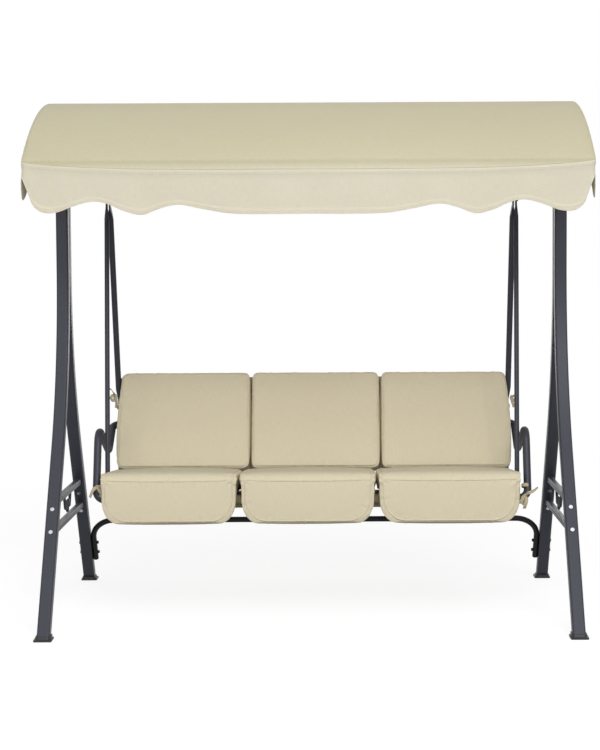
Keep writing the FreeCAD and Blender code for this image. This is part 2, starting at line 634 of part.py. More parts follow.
def tube_bolt(point, side_x, x_face, shank, head, head_height, nut, nut_height):
    """A bolt through a side tube from the face of the piece outside it."""
    start = at_x(point, x_face)
    inner = side_x - SEAT_TUBE / 2
    return bolt(start, Vector(-1, 0, 0), shank, x_face - inner, head, head_height, nut, nut_height)


def build_seat_frame():
    """Side tubes bent from seat to back, cross rails coped to them, support bars, armrests and slings."""
    x = SEAT_SIDE_X
    side_path = route([at_x(FRONT_RAIL, x), at_x(CORNER, x), at_x(BACK_TOP, x)], [SEAT_BEND])
    side_tube = round_tube(side_path, SEAT_TUBE, SEAT_WALL)
    side_bar = sweep_solid(side_path, SEAT_TUBE)
    side_bars = side_bar.fuse(mirrored(side_bar, -1))
    full = x + SEAT_TUBE / 2
    side_tube = side_tube.cut(cross_bar(FRONT_RAIL, full, SEAT_TUBE)).cut(cross_bar(BACK_TOP, full, SEAT_TUBE))
    keep("seat_front_rail", cross_tube(FRONT_RAIL, full, SEAT_TUBE, SEAT_WALL))
    keep("back_top_rail", cross_tube(BACK_TOP, full, SEAT_TUBE, SEAT_WALL))
    keep("seat_rear_rail", cross_tube(REAR_RAIL, x, SEAT_TUBE, SEAT_WALL).cut(side_bars))
    keep("back_lower_rail", cross_tube(BACK_LOW, x, SEAT_TUBE, SEAT_WALL).cut(side_bars))
    bars = []
    for n in range(SUPPORT_COUNT):
        bar_x = CUSHION_SPAN / (SUPPORT_COUNT + 1) * (n - (SUPPORT_COUNT - 1) / 2)
        path = Part.Wire([Part.LineSegment(at_x(FRONT_RAIL, bar_x), at_x(REAR_RAIL, bar_x)).toShape()])
        bar = round_tube(path, SUPPORT_TUBE, SEAT_WALL)
        sleeve = SEAT_TUBE + 2 * SLING_THICKNESS
        bars.append(bar.cut(cross_bar(FRONT_RAIL, full, sleeve)).cut(cross_bar(REAR_RAIL, full, sleeve)))
    keep("seat_support_bars", Part.makeCompound(bars))
    holes = [at_x(seat_point(FRONT_HANGER_Y), x), at_x(back_point(REAR_HANGER_BOLT_Z), x)]
    for hole in holes:
        side_tube = side_tube.cut(rod(hole - Vector(DRILL, 0, 0), Vector(1, 0, 0), M8 / 2 + BOLT_FIT, 2 * DRILL))
    keep("seat_side_tube_right", side_tube)
    keep("seat_side_tube_left", mirrored(side_tube, -1))
    arm = armrest().cut(side_bar).cut(cross_bar(FRONT_RAIL, full, SEAT_TUBE))
    keep("armrest_right", arm)
    keep("armrest_left", mirrored(arm, -1))


def armrest():
    """The bent arm tube: out of the seat's front corner, up, back and down, and in to the back tube."""
    rear = back_point(ARM_REAR_Z)
    points = [at_x(FRONT_RAIL, SEAT_SIDE_X), at_x(FRONT_RAIL, ARM_X), Vector(ARM_X, ARM_TOP_Y, ARM_TOP_Z),
              Vector(ARM_REAR_X, ARM_DIP_Y, ARM_DIP_Z), at_x(rear, ARM_REAR_X), at_x(rear, SEAT_SIDE_X)]
    return round_tube(route(points, ARM_BENDS), ARM_TUBE, SEAT_WALL)


def tip_plate(centre, along, thickness_x, hole):
    """The pressed flat end of a hanger: a plate of constant X round a hole, running on along the hanger."""
    half = TIP_WIDTH / 2
    across = Vector(1, 0, 0).cross(along).normalize()
    reach = along * TIP_LENGTH
    edges = [Part.LineSegment(centre + across * half, centre + across * half + reach).toShape(),
             Part.LineSegment(centre + across * half + reach, centre - across * half + reach).toShape(),
             Part.LineSegment(centre - across * half + reach, centre - across * half).toShape(),
             Part.Arc(centre - across * half, centre - along * half, centre + across * half).toShape()]
    face = Part.Face(Part.Wire(edges))
    face.translate(Vector(-thickness_x / 2, 0, 0))
    plate = face.extrude(Vector(thickness_x, 0, 0))
    return plate.cut(rod(centre - Vector(DRILL, 0, 0), Vector(1, 0, 0), hole, 2 * DRILL))


def tip_taper(start, run, diameter):
    """The pressed transition from a flat tip to a round bar: a wedge trimmed by a cone."""
    across = Vector(1, 0, 0).cross(run).normalize()
    aside = run.cross(across)
    root = start - run
    outlines = []
    for centre, width, thickness in ((root, TIP_WIDTH, TIP_THICKNESS), (start + run * TIP_TAPER, diameter, diameter)):
        corners = [centre + across * (width / 2 * a) + aside * (thickness / 2 * b)
                   for a, b in ((1, 1), (-1, 1), (-1, -1), (1, -1))]
        outlines.append(Part.makePolygon(corners + corners[:1]))
    wedge = Part.makeLoft(outlines, True, True)
    cone = Part.makeCone(TIP_WIDTH / 2 + TIP_BLEND, diameter / 2, TIP_TAPER + 1, root, run)
    return wedge.common(cone)


def hanger(top, bottom, diameter):
    """A bar with a pressed flat tip at each end."""
    along = Vector(0, bottom.y - top.y, bottom.z - top.z).normalize()
    upper = tip_plate(top, along, TIP_THICKNESS, BUSH_RADIUS)
    lower = tip_plate(bottom, along * -1, TIP_THICKNESS, M8 / 2 + BOLT_FIT)
    start = top + along * TIP_LENGTH
    end = bottom - along * TIP_LENGTH
    run = (end - start).normalize()
    tapers = [tip_taper(start, run, diameter), tip_taper(end, run * -1, diameter)]
    bar_start, bar_end = start + run * TIP_TAPER, end - run * TIP_TAPER
    bar = rod(bar_start, run, diameter / 2, (bar_end - bar_start).Length)
    return upper.fuse([tapers[0], bar, tapers[1], lower]).removeSplitter()


def build_hangers():
    """Front and rear hangers from each hinge to the seat frame, with their bolts."""
    outer = SEAT_SIDE_X + SEAT_TUBE / 2
    lower_x = outer + TIP_THICKNESS / 2
    bolts = []
    for name, offset, point, diameter in (
            ("front", TIP_PITCH / 2, seat_point(FRONT_HANGER_Y), FRONT_HANGER_TUBE),
            ("rear", -TIP_PITCH / 2, back_point(REAR_HANGER_BOLT_Z), REAR_HANGER_TUBE)):
        piece = hanger(Vector(HINGE_X + offset, 0, HINGE_Z), at_x(point, lower_x), diameter)
        keep(f"{name}_hanger_right", piece)
        keep(f"{name}_hanger_left", mirrored(piece, -1))
        for sign in (1, -1):
            pin = tube_bolt(point, SEAT_SIDE_X, outer + TIP_THICKNESS, M8, M8_HEAD, M8_HEAD_HEIGHT, M8_HEAD,
                            M8_NUT_HEIGHT)
            bolts.append(mirrored(pin, sign))
    keep("hanger_bolts", Part.makeCompound(bolts))


# ---- soft pieces of the seat --------------------------------------------------------------------------------------

CUSHION_WIDTH = (CUSHION_SPAN - (CUSHION_COUNT - 1) * CUSHION_GAP) / CUSHION_COUNT
SLING_HALF = SEAT_SIDE_X - SEAT_TUBE / 2 - SLING_INSET
SLING_FACE = SEAT_TUBE / 2 + SLING_THICKNESS


def sling(first, second, along, normal):
    """A fabric sheet stretched over two rails, sewn to a sleeve round each."""
    half = SLING_HALF
    outer = SEAT_TUBE + 2 * SLING_THICKNESS
    start = first + normal * (SEAT_TUBE / 2)
    end = first + along * (second - first).dot(along) + normal * (SEAT_TUBE / 2)
    sheet = Part.Face(Part.makePolygon([start, end, end + normal * SLING_THICKNESS,
                                        start + normal * SLING_THICKNESS, start]))
    sheet.translate(Vector(-half, 0, 0))
    sheet = sheet.extrude(Vector(2 * half, 0, 0))
    body = sheet.fuse([cross_bar(first, half, outer), cross_bar(second, half, outer)])
    body = body.cut(cross_bar(first, half + 1, SEAT_TUBE)).cut(cross_bar(second, half + 1, SEAT_TUBE))
    return body.removeSplitter()


def rounded_block(corners, radius, half_width):
    """A pad: a four-sided outline in a plane of constant X, widened to both sides, with all edges rounded."""
    face = Part.Face(Part.makePolygon(corners + corners[:1]))
    face.translate(Vector(-half_width, 0, 0))
    pad = face.extrude(Vector(2 * half_width, 0, 0))
    return pad.makeFillet(radius, pad.Edges)


FRONT_ROLL_Y = SEAT_FRONT_Y - FRONT_ROLL_REACH


def seat_cushion():
    """A seat pad: a slab on the sling whose front rolls down over the front rail."""
    base = SLING_FACE + SOFT_GAP
    rear = REAR_RAIL - SEAT_DIRECTION * SEAT_PAD_REAR
    front = seat_point(FRONT_ROLL_Y)
    inner = FRONT_RAIL + Vector(0, -SLING_FACE - 2 * SOFT_GAP, 0)
    top_front = front + SEAT_NORMAL * (base + SEAT_PAD)
    corners = [rear + SEAT_NORMAL * base, rear + SEAT_NORMAL * (base + SEAT_PAD), top_front,
               Vector(0, FRONT_ROLL_Y, FRONT_ROLL_Z), Vector(0, inner.y, FRONT_ROLL_Z),
               Vector(0, inner.y, seat_point(inner.y).z + base)]
    face = Part.Face(Part.makePolygon(corners + corners[:1]))
    half = CUSHION_WIDTH / 2
    face.translate(Vector(-half, 0, 0))
    pad = face.extrude(Vector(2 * half, 0, 0))
    front_edges = [e for e in pad.Edges if abs(e.tangentAt(0).x) > 0.9 and e.CenterOfMass.z > top_front.z - 1
                   and e.CenterOfMass.y < 0]
    pad = pad.makeFillet(SEAT_PAD_ROUND, front_edges)
    low_corners = [e for e in pad.Edges if abs(e.tangentAt(0).y) > 0.9 and abs(e.CenterOfMass.z - FRONT_ROLL_Z) < 1]
    return pad.makeFillet(SEAT_PAD_CORNER, low_corners)


def back_cushion():
    """A back pad leaning on the back sling, standing behind the seat pad."""
    near = SLING_FACE + SOFT_GAP
    low = CORNER + BACK_DIRECTION * BACK_PAD_FOOT
    high = CORNER + BACK_DIRECTION * ((BACK_TOP - CORNER).Length + SEAT_TUBE / 2)
    corners = [low + BACK_NORMAL * near, high + BACK_NORMAL * near, high + BACK_NORMAL * (near + BACK_PAD),
               low + BACK_NORMAL * (near + BACK_PAD)]
    return rounded_block(corners, BACK_PAD_ROUND, CUSHION_WIDTH / 2)


def build_soft_seat():
    """Slings on the rails and a row of cushions on them."""
    keep("seat_sling", sling(FRONT_RAIL, REAR_RAIL, SEAT_DIRECTION, SEAT_NORMAL))
    keep("back_sling", sling(BACK_LOW, BACK_TOP, BACK_DIRECTION, BACK_NORMAL))
    names = ("left", "middle", "right")
    seat, back = seat_cushion(), back_cushion()
    for n in range(CUSHION_COUNT):
        x = (n - (CUSHION_COUNT - 1) / 2) * (CUSHION_WIDTH + CUSHION_GAP)
        keep(f"seat_cushion_{names[n]}", moved(seat, Vector(x, 0, 0)))
        keep(f"back_cushion_{names[n]}", moved(back, Vector(x, 0, 0)))


# ---- canopy -------------------------------------------------------------------------------------------------------

HALF_CHORD = CANOPY_CHORD / 2
CANOPY_RADIUS = (HALF_CHORD ** 2 + CANOPY_RISE ** 2) / (2 * CANOPY_RISE)
HALF_ANGLE = math.asin(HALF_CHORD / CANOPY_RADIUS)
TUBE_RADIUS_LINE = CANOPY_RADIUS - CANOPY_FABRIC - SOFT_GAP - CANOPY_TUBE / 2
TURN = FreeCAD.Rotation(Vector(1, 0, 0), CANOPY_TILT)


def canopy_point(angle, radius, x=0):
    """A point of the canopy's arc, angle measured from its crown towards the rear."""
    local = Vector(0, radius * math.sin(angle), radius * math.cos(angle) - CANOPY_RADIUS + CANOPY_RISE)
    world = TURN.multVec(local)
    return Vector(x, world.y, world.z + CANOPY_CHORD_Z)


def canopy_arc(radius, start, end, x=0):
    """An arc of the canopy as an edge."""
    return Part.Arc(canopy_point(start, radius, x), canopy_point((start + end) / 2, radius, x),
                    canopy_point(end, radius, x)).toShape()


def end_valance(end):
    """The hanging panel at the front or rear edge, its hem waved on each side of a long middle lobe."""
    waves = ((1.0, 0.40), (0.982, 0.62), (0.955, 0.95), (0.93, 1.03), (0.88, 1.0), (0.82, 0.84), (0.755, 0.73),
             (0.70, 0.77), (0.65, 0.90), (0.585, 0.98), (0.52, 0.84), (0.455, 0.76), (0.37, 0.85), (0.27, 0.96),
             (0.13, 0.985), (0.0, 0.98))
    edge = canopy_point(end * HALF_ANGLE, CANOPY_RADIUS)
    half = CANOPY_HALF_WIDTH
    side = [Vector(share * half, edge.y, edge.z - drop * VALANCE_DEPTH) for share, drop in waves]
    hem = side + [Vector(-p.x, p.y, p.z) for p in reversed(side[:-1])]
    curve = Part.BSplineCurve()
    curve.interpolate(hem)
    top_right, top_left = Vector(half, edge.y, edge.z), Vector(-half, edge.y, edge.z)
    wire = Part.Wire([curve.toShape(), Part.LineSegment(hem[-1], top_left).toShape(),
                      Part.LineSegment(top_left, top_right).toShape(),
                      Part.LineSegment(top_right, hem[0]).toShape()])
    return Part.Face(wire).extrude(Vector(0, end * CANOPY_FABRIC, 0))


def side_valance():
    """The hanging panel along the right-hand arch, its hem in waves that follow the arc."""
    waves = ((0.0, 1.0), (0.12, 0.99), (0.28, 0.90), (0.42, 0.74), (0.52, 0.70), (0.62, 0.80), (0.74, 0.97),
             (0.84, 0.99), (0.91, 0.90), (0.96, 0.66), (1.0, 0.40))
    x = CANOPY_HALF_WIDTH
    hem = []
    for share, drop in [(-share, drop) for share, drop in reversed(waves[1:])] + list(waves):
        top = canopy_point(share * HALF_ANGLE, CANOPY_RADIUS, x)
        hem.append(Vector(x, top.y, top.z - drop * VALANCE_DEPTH))
    curve = Part.BSplineCurve()
    curve.interpolate(hem)
    first, last = canopy_point(-HALF_ANGLE, CANOPY_RADIUS, x), canopy_point(HALF_ANGLE, CANOPY_RADIUS, x)
    wire = Part.Wire([curve.toShape(), Part.LineSegment(hem[-1], last).toShape(),
                      canopy_arc(CANOPY_RADIUS, -HALF_ANGLE, HALF_ANGLE, x),
                      Part.LineSegment(first, hem[0]).toShape()])
    return Part.Face(wire).extrude(Vector(CANOPY_FABRIC, 0, 0))


def build_canopy_cover():
    """The arched top and four hanging panels."""
    half = CANOPY_HALF_WIDTH
    inner = CANOPY_RADIUS - CANOPY_FABRIC
    outline = Part.Wire([canopy_arc(CANOPY_RADIUS, -HALF_ANGLE, HALF_ANGLE, -half),
                         Part.LineSegment(canopy_point(HALF_ANGLE, CANOPY_RADIUS, -half),
                                          canopy_point(HALF_ANGLE, inner, -half)).toShape(),
                         canopy_arc(inner, HALF_ANGLE, -HALF_ANGLE, -half),
                         Part.LineSegment(canopy_point(-HALF_ANGLE, inner, -half),
                                          canopy_point(-HALF_ANGLE, CANOPY_RADIUS, -half)).toShape()])
    keep("canopy_top", Part.Face(outline).extrude(Vector(2 * half, 0, 0)))
    for name, end in ENDS.items():
        keep(f"canopy_valance_{name}", end_valance(end))
    for name, sign in SIDES.items():
        keep(f"canopy_valance_{name}", mirrored(side_valance(), sign))


def arch_ring(x, diameter, end_angle):
    """A solid round bar bent along the canopy's arc, made by turning a disc about the arc's centre."""
    start = canopy_point(-end_angle, TUBE_RADIUS_LINE, x)
    heading = TURN.multVec(Vector(0, math.cos(end_angle), math.sin(end_angle)))
    disc = Part.Face(Part.Wire(Part.makeCircle(diameter / 2, start, heading)))
    return disc.revolve(canopy_point(0, 0, x), Vector(-1, 0, 0), math.degrees(2 * end_angle))


RAIL_ANGLE = HALF_ANGLE - (CANOPY_TUBE / 2 + RAIL_INSET) / CANOPY_RADIUS


def tie_height(y):
    """Height of the ties' centre line above the ground at a given Y."""
    start, end = canopy_point(-RAIL_ANGLE, TUBE_RADIUS_LINE), canopy_point(RAIL_ANGLE, TUBE_RADIUS_LINE)
    return start.z + (end.z - start.z) * (y - start.y) / (end.y - start.y)


def build_canopy_frame():
    """Side arches and ties, three cross rails, and the slotted tilt plates on the ties."""
    x = ARCH_X
    start, end = canopy_point(-RAIL_ANGLE, TUBE_RADIUS_LINE), canopy_point(RAIL_ANGLE, TUBE_RADIUS_LINE)
    crown = canopy_point(0, TUBE_RADIUS_LINE)
    arch_angle = RAIL_ANGLE - (CANOPY_TUBE / 2 + WELD_GAP) / TUBE_RADIUS_LINE
    arch_bar = arch_ring(x, CANOPY_TUBE, arch_angle)
    rails = [cross_bar(p, x + CANOPY_TUBE / 2, CANOPY_TUBE) for p in (start, end)]
    arch = arch_bar.cut(arch_ring(x, CANOPY_TUBE - 2 * CANOPY_WALL, arch_angle))
    tie_path = Part.Wire([Part.LineSegment(at_x(start, x), at_x(end, x)).toShape()])
    tie_bar = sweep_solid(tie_path, CANOPY_TUBE)
    tie = tie_bar.cut(rails[0]).cut(rails[1]).cut(arch_bar)
    tie = max(tie.Solids, key=lambda solid: solid.Volume).cut(sweep_solid(tie_path, CANOPY_TUBE - 2 * CANOPY_WALL))
    plate = tilt_plate(tie_height(0)).cut(tie_bar)
    plate = min(plate.Solids, key=lambda solid: solid.CenterOfMass.z)
    tie = tie.fuse(plate)
    for name, sign in SIDES.items():
        keep(f"canopy_arch_{name}", mirrored(arch, sign))
        keep(f"canopy_tie_{name}", mirrored(tie, sign))
    keep("canopy_front_rail", cross_tube(start, x + CANOPY_TUBE / 2, CANOPY_TUBE, CANOPY_WALL))
    keep("canopy_rear_rail", cross_tube(end, x + CANOPY_TUBE / 2, CANOPY_TUBE, CANOPY_WALL))
    crown_rail = cross_tube(crown, x, CANOPY_TUBE, CANOPY_WALL)
    keep("canopy_crown_rail", crown_rail.cut(arch_bar).cut(mirrored(arch_bar, -1)))


def sector_slot(radius, half_width, low, high, x, depth):
    """A slot with round ends along an arc about the tilt hinge, from low to high degrees off straight up."""
    def spot(r, degrees):
        angle = math.radians(degrees)
        return Vector(x, r * math.sin(angle), TILT_Z + r * math.cos(angle))
    middle = (low + high) / 2
    outer, inner = radius + half_width, radius - half_width
    wire = Part.Wire([Part.Arc(spot(outer, low), spot(outer, middle), spot(outer, high)).toShape(),
                      Part.LineSegment(spot(outer, high), spot(inner, high)).toShape(),
                      Part.Arc(spot(inner, high), spot(inner, middle), spot(inner, low)).toShape(),
                      Part.LineSegment(spot(inner, low), spot(outer, low)).toShape()])
    body = Part.Face(wire).extrude(Vector(depth, 0, 0))
    ends = [rod(spot(radius, d), Vector(1, 0, 0), half_width, depth) for d in (low, high)]
    return body.fuse(ends)


def tilt_plate(top):
    """The plate welded under each tie: it turns on the tilt bolt, and the clamp bolt runs in its slot."""
    half = TILT_PLATE_WIDTH / 2
    x = TILT_PLATE_X
    shoulder = TILT_Z + TILT_PLATE_SHOULDER
    points = [Vector(x, -TILT_PLATE_NOSE, TILT_Z), Vector(x, -TILT_PLATE_SIDE, shoulder), Vector(x, -half, top),
              Vector(x, half, top), Vector(x, TILT_PLATE_SIDE, shoulder), Vector(x, TILT_PLATE_NOSE, TILT_Z)]
    edges = [Part.LineSegment(a, b).toShape() for a, b in zip(points, points[1:])]
    edges.append(Part.Arc(points[-1], Vector(x, 0, TILT_Z - TILT_PLATE_NOSE), points[0]).toShape())
    plate = Part.Face(Part.Wire(edges)).extrude(Vector(TILT_PLATE, 0, 0))
    drill_x = x - TILT_PLATE
    plate = plate.cut(rod(Vector(drill_x, 0, TILT_Z), Vector(1, 0, 0), M8 / 2 + BOLT_FIT, 3 * TILT_PLATE))
    return plate.cut(sector_slot(TILT_RADIUS, M8 / 2 + SIDE_PLAY, -TILT_UP - SLOT_MARGIN, TILT_DOWN + SLOT_MARGIN,
                                 drill_x, 3 * TILT_PLATE))


def build_tilt_fasteners():
    """The tilt bolts, the clamp bolts and the lobed knobs that clamp the canopy."""
    outside = TILT_PLATE_X + TILT_PLATE
    washer_face = LEG_OUTER_X
    hinge_grip = outside + SIDE_PLAY - washer_face
    turn = bolt(Vector(outside + SIDE_PLAY, 0, TILT_Z), Vector(-1, 0, 0), M8, hinge_grip, M8_HEAD,
                M8_FLAT_HEAD_HEIGHT, M8_HEAD, M8_THIN_NUT_HEIGHT)
    start = Vector(outside + SIDE_PLAY, 0, clamp_point().z)
    clamp = bolt(start, Vector(-1, 0, 0), M8, hinge_grip + KNOB_BORE, M8_WASHER, M8_WASHER_HEIGHT)
    knob = tilt_knob(washer_face - SIDE_PLAY, clamp_point().z)
    for name, sign in SIDES.items():
        keep(f"tilt_knob_{name}", mirrored(knob, sign))
    keep("tilt_bolts", Part.makeCompound([turn, mirrored(turn, -1)]))
    keep("clamp_bolts", Part.makeCompound([clamp, mirrored(clamp, -1)]))


def tilt_knob(face_x, z):
    """A lobed plastic knob with a blind bore, its hub against the ear."""
    start = Vector(face_x, 0, z)
    inward = Vector(-1, 0, 0)
    knob = rod(start, inward, KNOB_BODY_RADIUS, KNOB_THICKNESS)
    for n in range(KNOB_LOBES):
        angle = math.radians(360 / KNOB_LOBES * n)
        at = start + Vector(0, math.cos(angle), math.sin(angle)) * KNOB_LOBE_PITCH
        knob = knob.fuse(rod(at + inward * KNOB_HUB, inward, KNOB_LOBE_RADIUS, KNOB_THICKNESS - KNOB_HUB))
    bore = rod(start + Vector(1, 0, 0), inward, M8 / 2 + RUNNING_FIT, KNOB_BORE + KNOB_BORE_SPARE + 1)
    return knob.removeSplitter().cut(bore)


def main():
    """Build every piece and write it out."""
    os.makedirs("parts", exist_ok=True)
    build_legs()
    build_side_braces()
    build_crossbar()
    build_head()
    build_hinge_brackets()
    build_seat_frame()
    build_hangers()
    build_soft_seat()
    build_canopy_cover()
    build_canopy_frame()
    build_tilt_fasteners()
    for name, shape in pieces.items():
        shape.exportStep(f"parts/{name}.step")
        solids = len(shape.Solids)
        print(f"{name:26s} solids {solids} valid {shape.isValid()} volume {shape.Volume / 1000:10.1f} cm3")
    print(len(pieces), "pieces")


main()
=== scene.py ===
"""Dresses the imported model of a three-seat canopy swing bench for a product view.

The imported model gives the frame: every steel and plastic piece keeps its own mesh and gets its finish here. The
soft parts are made here from cloth: a canopy cover, two slings, six cushions with sewn seams, and their ties.
Lengths are in metres. X runs along the bench, the front faces -Y and Z is up.
"""

import json
import logging
import math
from dataclasses import dataclass, field
from enum import Enum

import bmesh
import bpy
import numpy as np
from mathutils import Matrix, Vector

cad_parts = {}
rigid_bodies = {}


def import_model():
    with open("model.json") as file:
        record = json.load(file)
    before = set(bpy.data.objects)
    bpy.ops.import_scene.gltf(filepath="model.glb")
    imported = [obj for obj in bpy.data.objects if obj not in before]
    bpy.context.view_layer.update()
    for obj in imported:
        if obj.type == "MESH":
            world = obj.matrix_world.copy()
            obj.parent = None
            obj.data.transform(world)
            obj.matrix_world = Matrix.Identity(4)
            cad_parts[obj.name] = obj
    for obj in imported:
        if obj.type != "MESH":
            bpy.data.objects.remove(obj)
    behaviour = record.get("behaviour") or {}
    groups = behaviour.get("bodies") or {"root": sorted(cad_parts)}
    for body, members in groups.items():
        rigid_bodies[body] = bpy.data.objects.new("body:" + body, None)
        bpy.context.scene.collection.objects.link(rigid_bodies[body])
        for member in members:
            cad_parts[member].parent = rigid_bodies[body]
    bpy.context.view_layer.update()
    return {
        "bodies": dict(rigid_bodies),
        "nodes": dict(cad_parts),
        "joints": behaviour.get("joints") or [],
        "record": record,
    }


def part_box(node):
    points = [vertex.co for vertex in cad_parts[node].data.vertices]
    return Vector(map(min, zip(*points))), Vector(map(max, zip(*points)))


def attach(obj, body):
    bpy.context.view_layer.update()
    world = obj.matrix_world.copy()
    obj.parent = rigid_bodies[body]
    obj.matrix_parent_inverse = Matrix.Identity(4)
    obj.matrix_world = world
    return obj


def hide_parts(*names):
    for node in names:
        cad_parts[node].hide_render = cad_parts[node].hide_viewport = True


log = logging.getLogger("swing_bench")

Colour = tuple[float, float, float]
Triple = tuple[float, float, float]
WHITE: Colour = (1.0, 1.0, 1.0)


class Place(Enum):
    """A cushion's place in its row, as the step from the middle one."""

    LEFT = -1
    MIDDLE = 0
    RIGHT = 1

    @property
    def word(self) -> str:
        """The place's name in lower case, as the nodes use it."""
        return self.name.lower()


class Body(Enum):
    """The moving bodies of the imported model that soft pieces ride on."""

    SWING = "swing"
    CANOPY = "canopy"


# ---- shapes -------------------------------------------------------------------------------------------------------


def smooth_step(low: float, high: float, value: np.ndarray) -> np.ndarray:
    """A rise from 0 at low to 1 at high, level at both ends: 3t squared less 2t cubed.

    Args:
        low: The value where the rise starts.
        high: The value where the rise ends.
        value: The values to map.

    Returns:
        The heights, from 0 to 1.
    """
    t = np.clip((value - low) / (high - low), 0.0, 1.0)
    return t * t * (3.0 - 2.0 * t)


def through_points(points: np.ndarray, count: int) -> np.ndarray:
    """A smooth curve through the points (Catmull-Rom), with its samples evenly spaced along it.

    Each span is the cubic whose slope at each end is half the step between the points on either side.

    Args:
        points: The points to pass through, one per row.
        count: How many samples to return.

    Returns:
        The samples, one per row.
    """
    p = np.vstack([2 * points[0] - points[1], points, 2 * points[-1] - points[-2]])
    t = np.linspace(0.0, 1.0, 24, endpoint=False)[:, None, None]
    a, b, c, d = p[:-3], p[1:-2], p[2:-1], p[3:]
    spans = 0.5 * (2 * b + (c - a) * t + (2 * a - 5 * b + 4 * c - d) * t**2 + (3 * b - a - 3 * c + d) * t**3)
    dense = np.vstack([spans.transpose(1, 0, 2).reshape(-1, points.shape[1]), points[-1:]])
    return even_steps(dense, count)


def even_steps(path: np.ndarray, count: int) -> np.ndarray:
    """The same path with samples evenly spaced along its length.

    Args:
        path: The path's points, one per row.
        count: How many samples to return.

    Returns:
        The samples, one per row.
    """
    length = distance_along(path)
    wanted = np.linspace(0.0, length[-1], count)
    return np.stack([np.interp(wanted, length, path[:, k]) for k in range(path.shape[1])], axis=1)


def unit(vectors: np.ndarray) -> np.ndarray:
    """The vectors at length one."""
    return vectors / np.maximum(np.linalg.norm(vectors, axis=-1, keepdims=True), 1e-12)


def distance_along(path: np.ndarray) -> np.ndarray:
    """How far along a path each of its points lies, from 0 at the first."""
    return np.concatenate([[0.0], np.cumsum(np.linalg.norm(np.diff(path, axis=0), axis=1))])


def path_length(path: np.ndarray) -> float:
    """The length of a path of points."""
    return float(np.linalg.norm(np.diff(path, axis=0), axis=1).sum())


def round_off(past_a: np.ndarray, past_b: np.ndarray, corner: float) -> np.ndarray:
    """The share by which points shrink towards a corner's centre, so that none lies outside the corner's circle.

    Args:
        past_a: How far each point lies past the centre in one direction.
        past_b: How far it lies past the centre in the other.
        corner: The circle's radius.

    Returns:
        The shares, 1 inside the circle and the radius over the distance outside it.
    """
    return np.minimum(corner / np.maximum(np.hypot(past_a, past_b), 1e-6), 1.0)


def mesh_object(name: str, points: np.ndarray, faces: np.ndarray) -> bpy.types.Object:
    """A new object from points and four-sided faces, shaded smooth.

    Args:
        name: The object's name.
        points: The vertices, one per row.
        faces: The vertex numbers of each face, one face per row.

    Returns:
        The object, linked to the scene.
    """
    mesh = bpy.data.meshes.new(name)
    mesh.from_pydata(points.reshape(-1, 3).tolist(), [], faces.tolist())
    mesh.polygons.foreach_set("use_smooth", np.ones(len(mesh.polygons), bool))
    mesh.update()
    obj = bpy.data.objects.new(name, mesh)
    bpy.context.scene.collection.objects.link(obj)
    return obj


def grid_faces(rows: int, columns: int, ring: bool = False, start: int = 0) -> np.ndarray:
    """The four-sided faces of a grid of vertices.

    Args:
        rows: How many vertices along the first direction.
        columns: How many vertices along the second direction.
        ring: Whether the last column joins the first one again.
        start: The number of the grid's first vertex.

    Returns:
        The vertex numbers of each face, one face per row.
    """
    last = columns if ring else columns - 1
    i, j = np.meshgrid(np.arange(rows - 1), np.arange(last), indexing="ij")
    k = (j + 1) % columns
    corners = [i * columns + j, i * columns + k, (i + 1) * columns + k, (i + 1) * columns + j]
    return start + np.stack(corners, axis=-1).reshape(-1, 4)


def vertices_of(obj: bpy.types.Object) -> np.ndarray:
    """An object's vertices.

    Args:
        obj: The object.

    Returns:
        The points, one per row.
    """
    points = np.zeros(len(obj.data.vertices) * 3)
    obj.data.vertices.foreach_get("co", points)
    return points.reshape(-1, 3)


def loop_vertices(obj: bpy.types.Object) -> np.ndarray:
    """The vertex at each corner of each face of an object.

    Args:
        obj: The object.

    Returns:
        The vertex numbers, in the order of the faces.
    """
    corners = np.zeros(len(obj.data.loops), np.int32)
    obj.data.loops.foreach_get("vertex_index", corners)
    return corners


def write_uv(obj: bpy.types.Object, per_corner: np.ndarray) -> None:
    """Gives a mesh the UV map that the weave reads, from one pair of numbers per face corner."""
    layer = obj.data.uv_layers.new(name="cloth")
    layer.data.foreach_set("uv", per_corner.astype(np.float32).ravel())


def set_uv(obj: bpy.types.Object, per_vertex: np.ndarray) -> None:
    """Gives a mesh a UV map in metres from one pair of numbers per vertex."""
    write_uv(obj, per_vertex.reshape(-1, 2)[loop_vertices(obj)])


def box_uv(obj: bpy.types.Object) -> None:
    """Gives a mesh a UV map in metres, each face seen along the axis that it faces most.

    Args:
        obj: The object to map.
    """
    count = len(obj.data.polygons)
    normals, sizes = np.zeros(count * 3), np.zeros(count, np.int32)
    obj.data.polygons.foreach_get("normal", normals)
    obj.data.polygons.foreach_get("loop_total", sizes)
    points = vertices_of(obj)[loop_vertices(obj)]
    axis = np.repeat(np.abs(normals.reshape(-1, 3)).argmax(axis=1), sizes)
    u = np.where(axis == 0, points[:, 1], points[:, 0])
    v = np.where(axis == 2, points[:, 1], points[:, 2])
    write_uv(obj, np.stack([u, v], axis=1))


def set_vertices(obj: bpy.types.Object, points: np.ndarray) -> None:
    """Moves an object's vertices to the points, one per row."""
    obj.data.vertices.foreach_set("co", points.astype(np.float32).ravel())
    obj.data.update()


def vertex_normals(obj: bpy.types.Object) -> np.ndarray:
    """The outward direction at each vertex of an object.

    Args:
        obj: The object.

    Returns:
        The directions, one per row.
    """
    normals = np.zeros(len(obj.data.vertices) * 3)
    obj.data.vertex_normals.foreach_get("vector", normals)
    return normals.reshape(-1, 3)


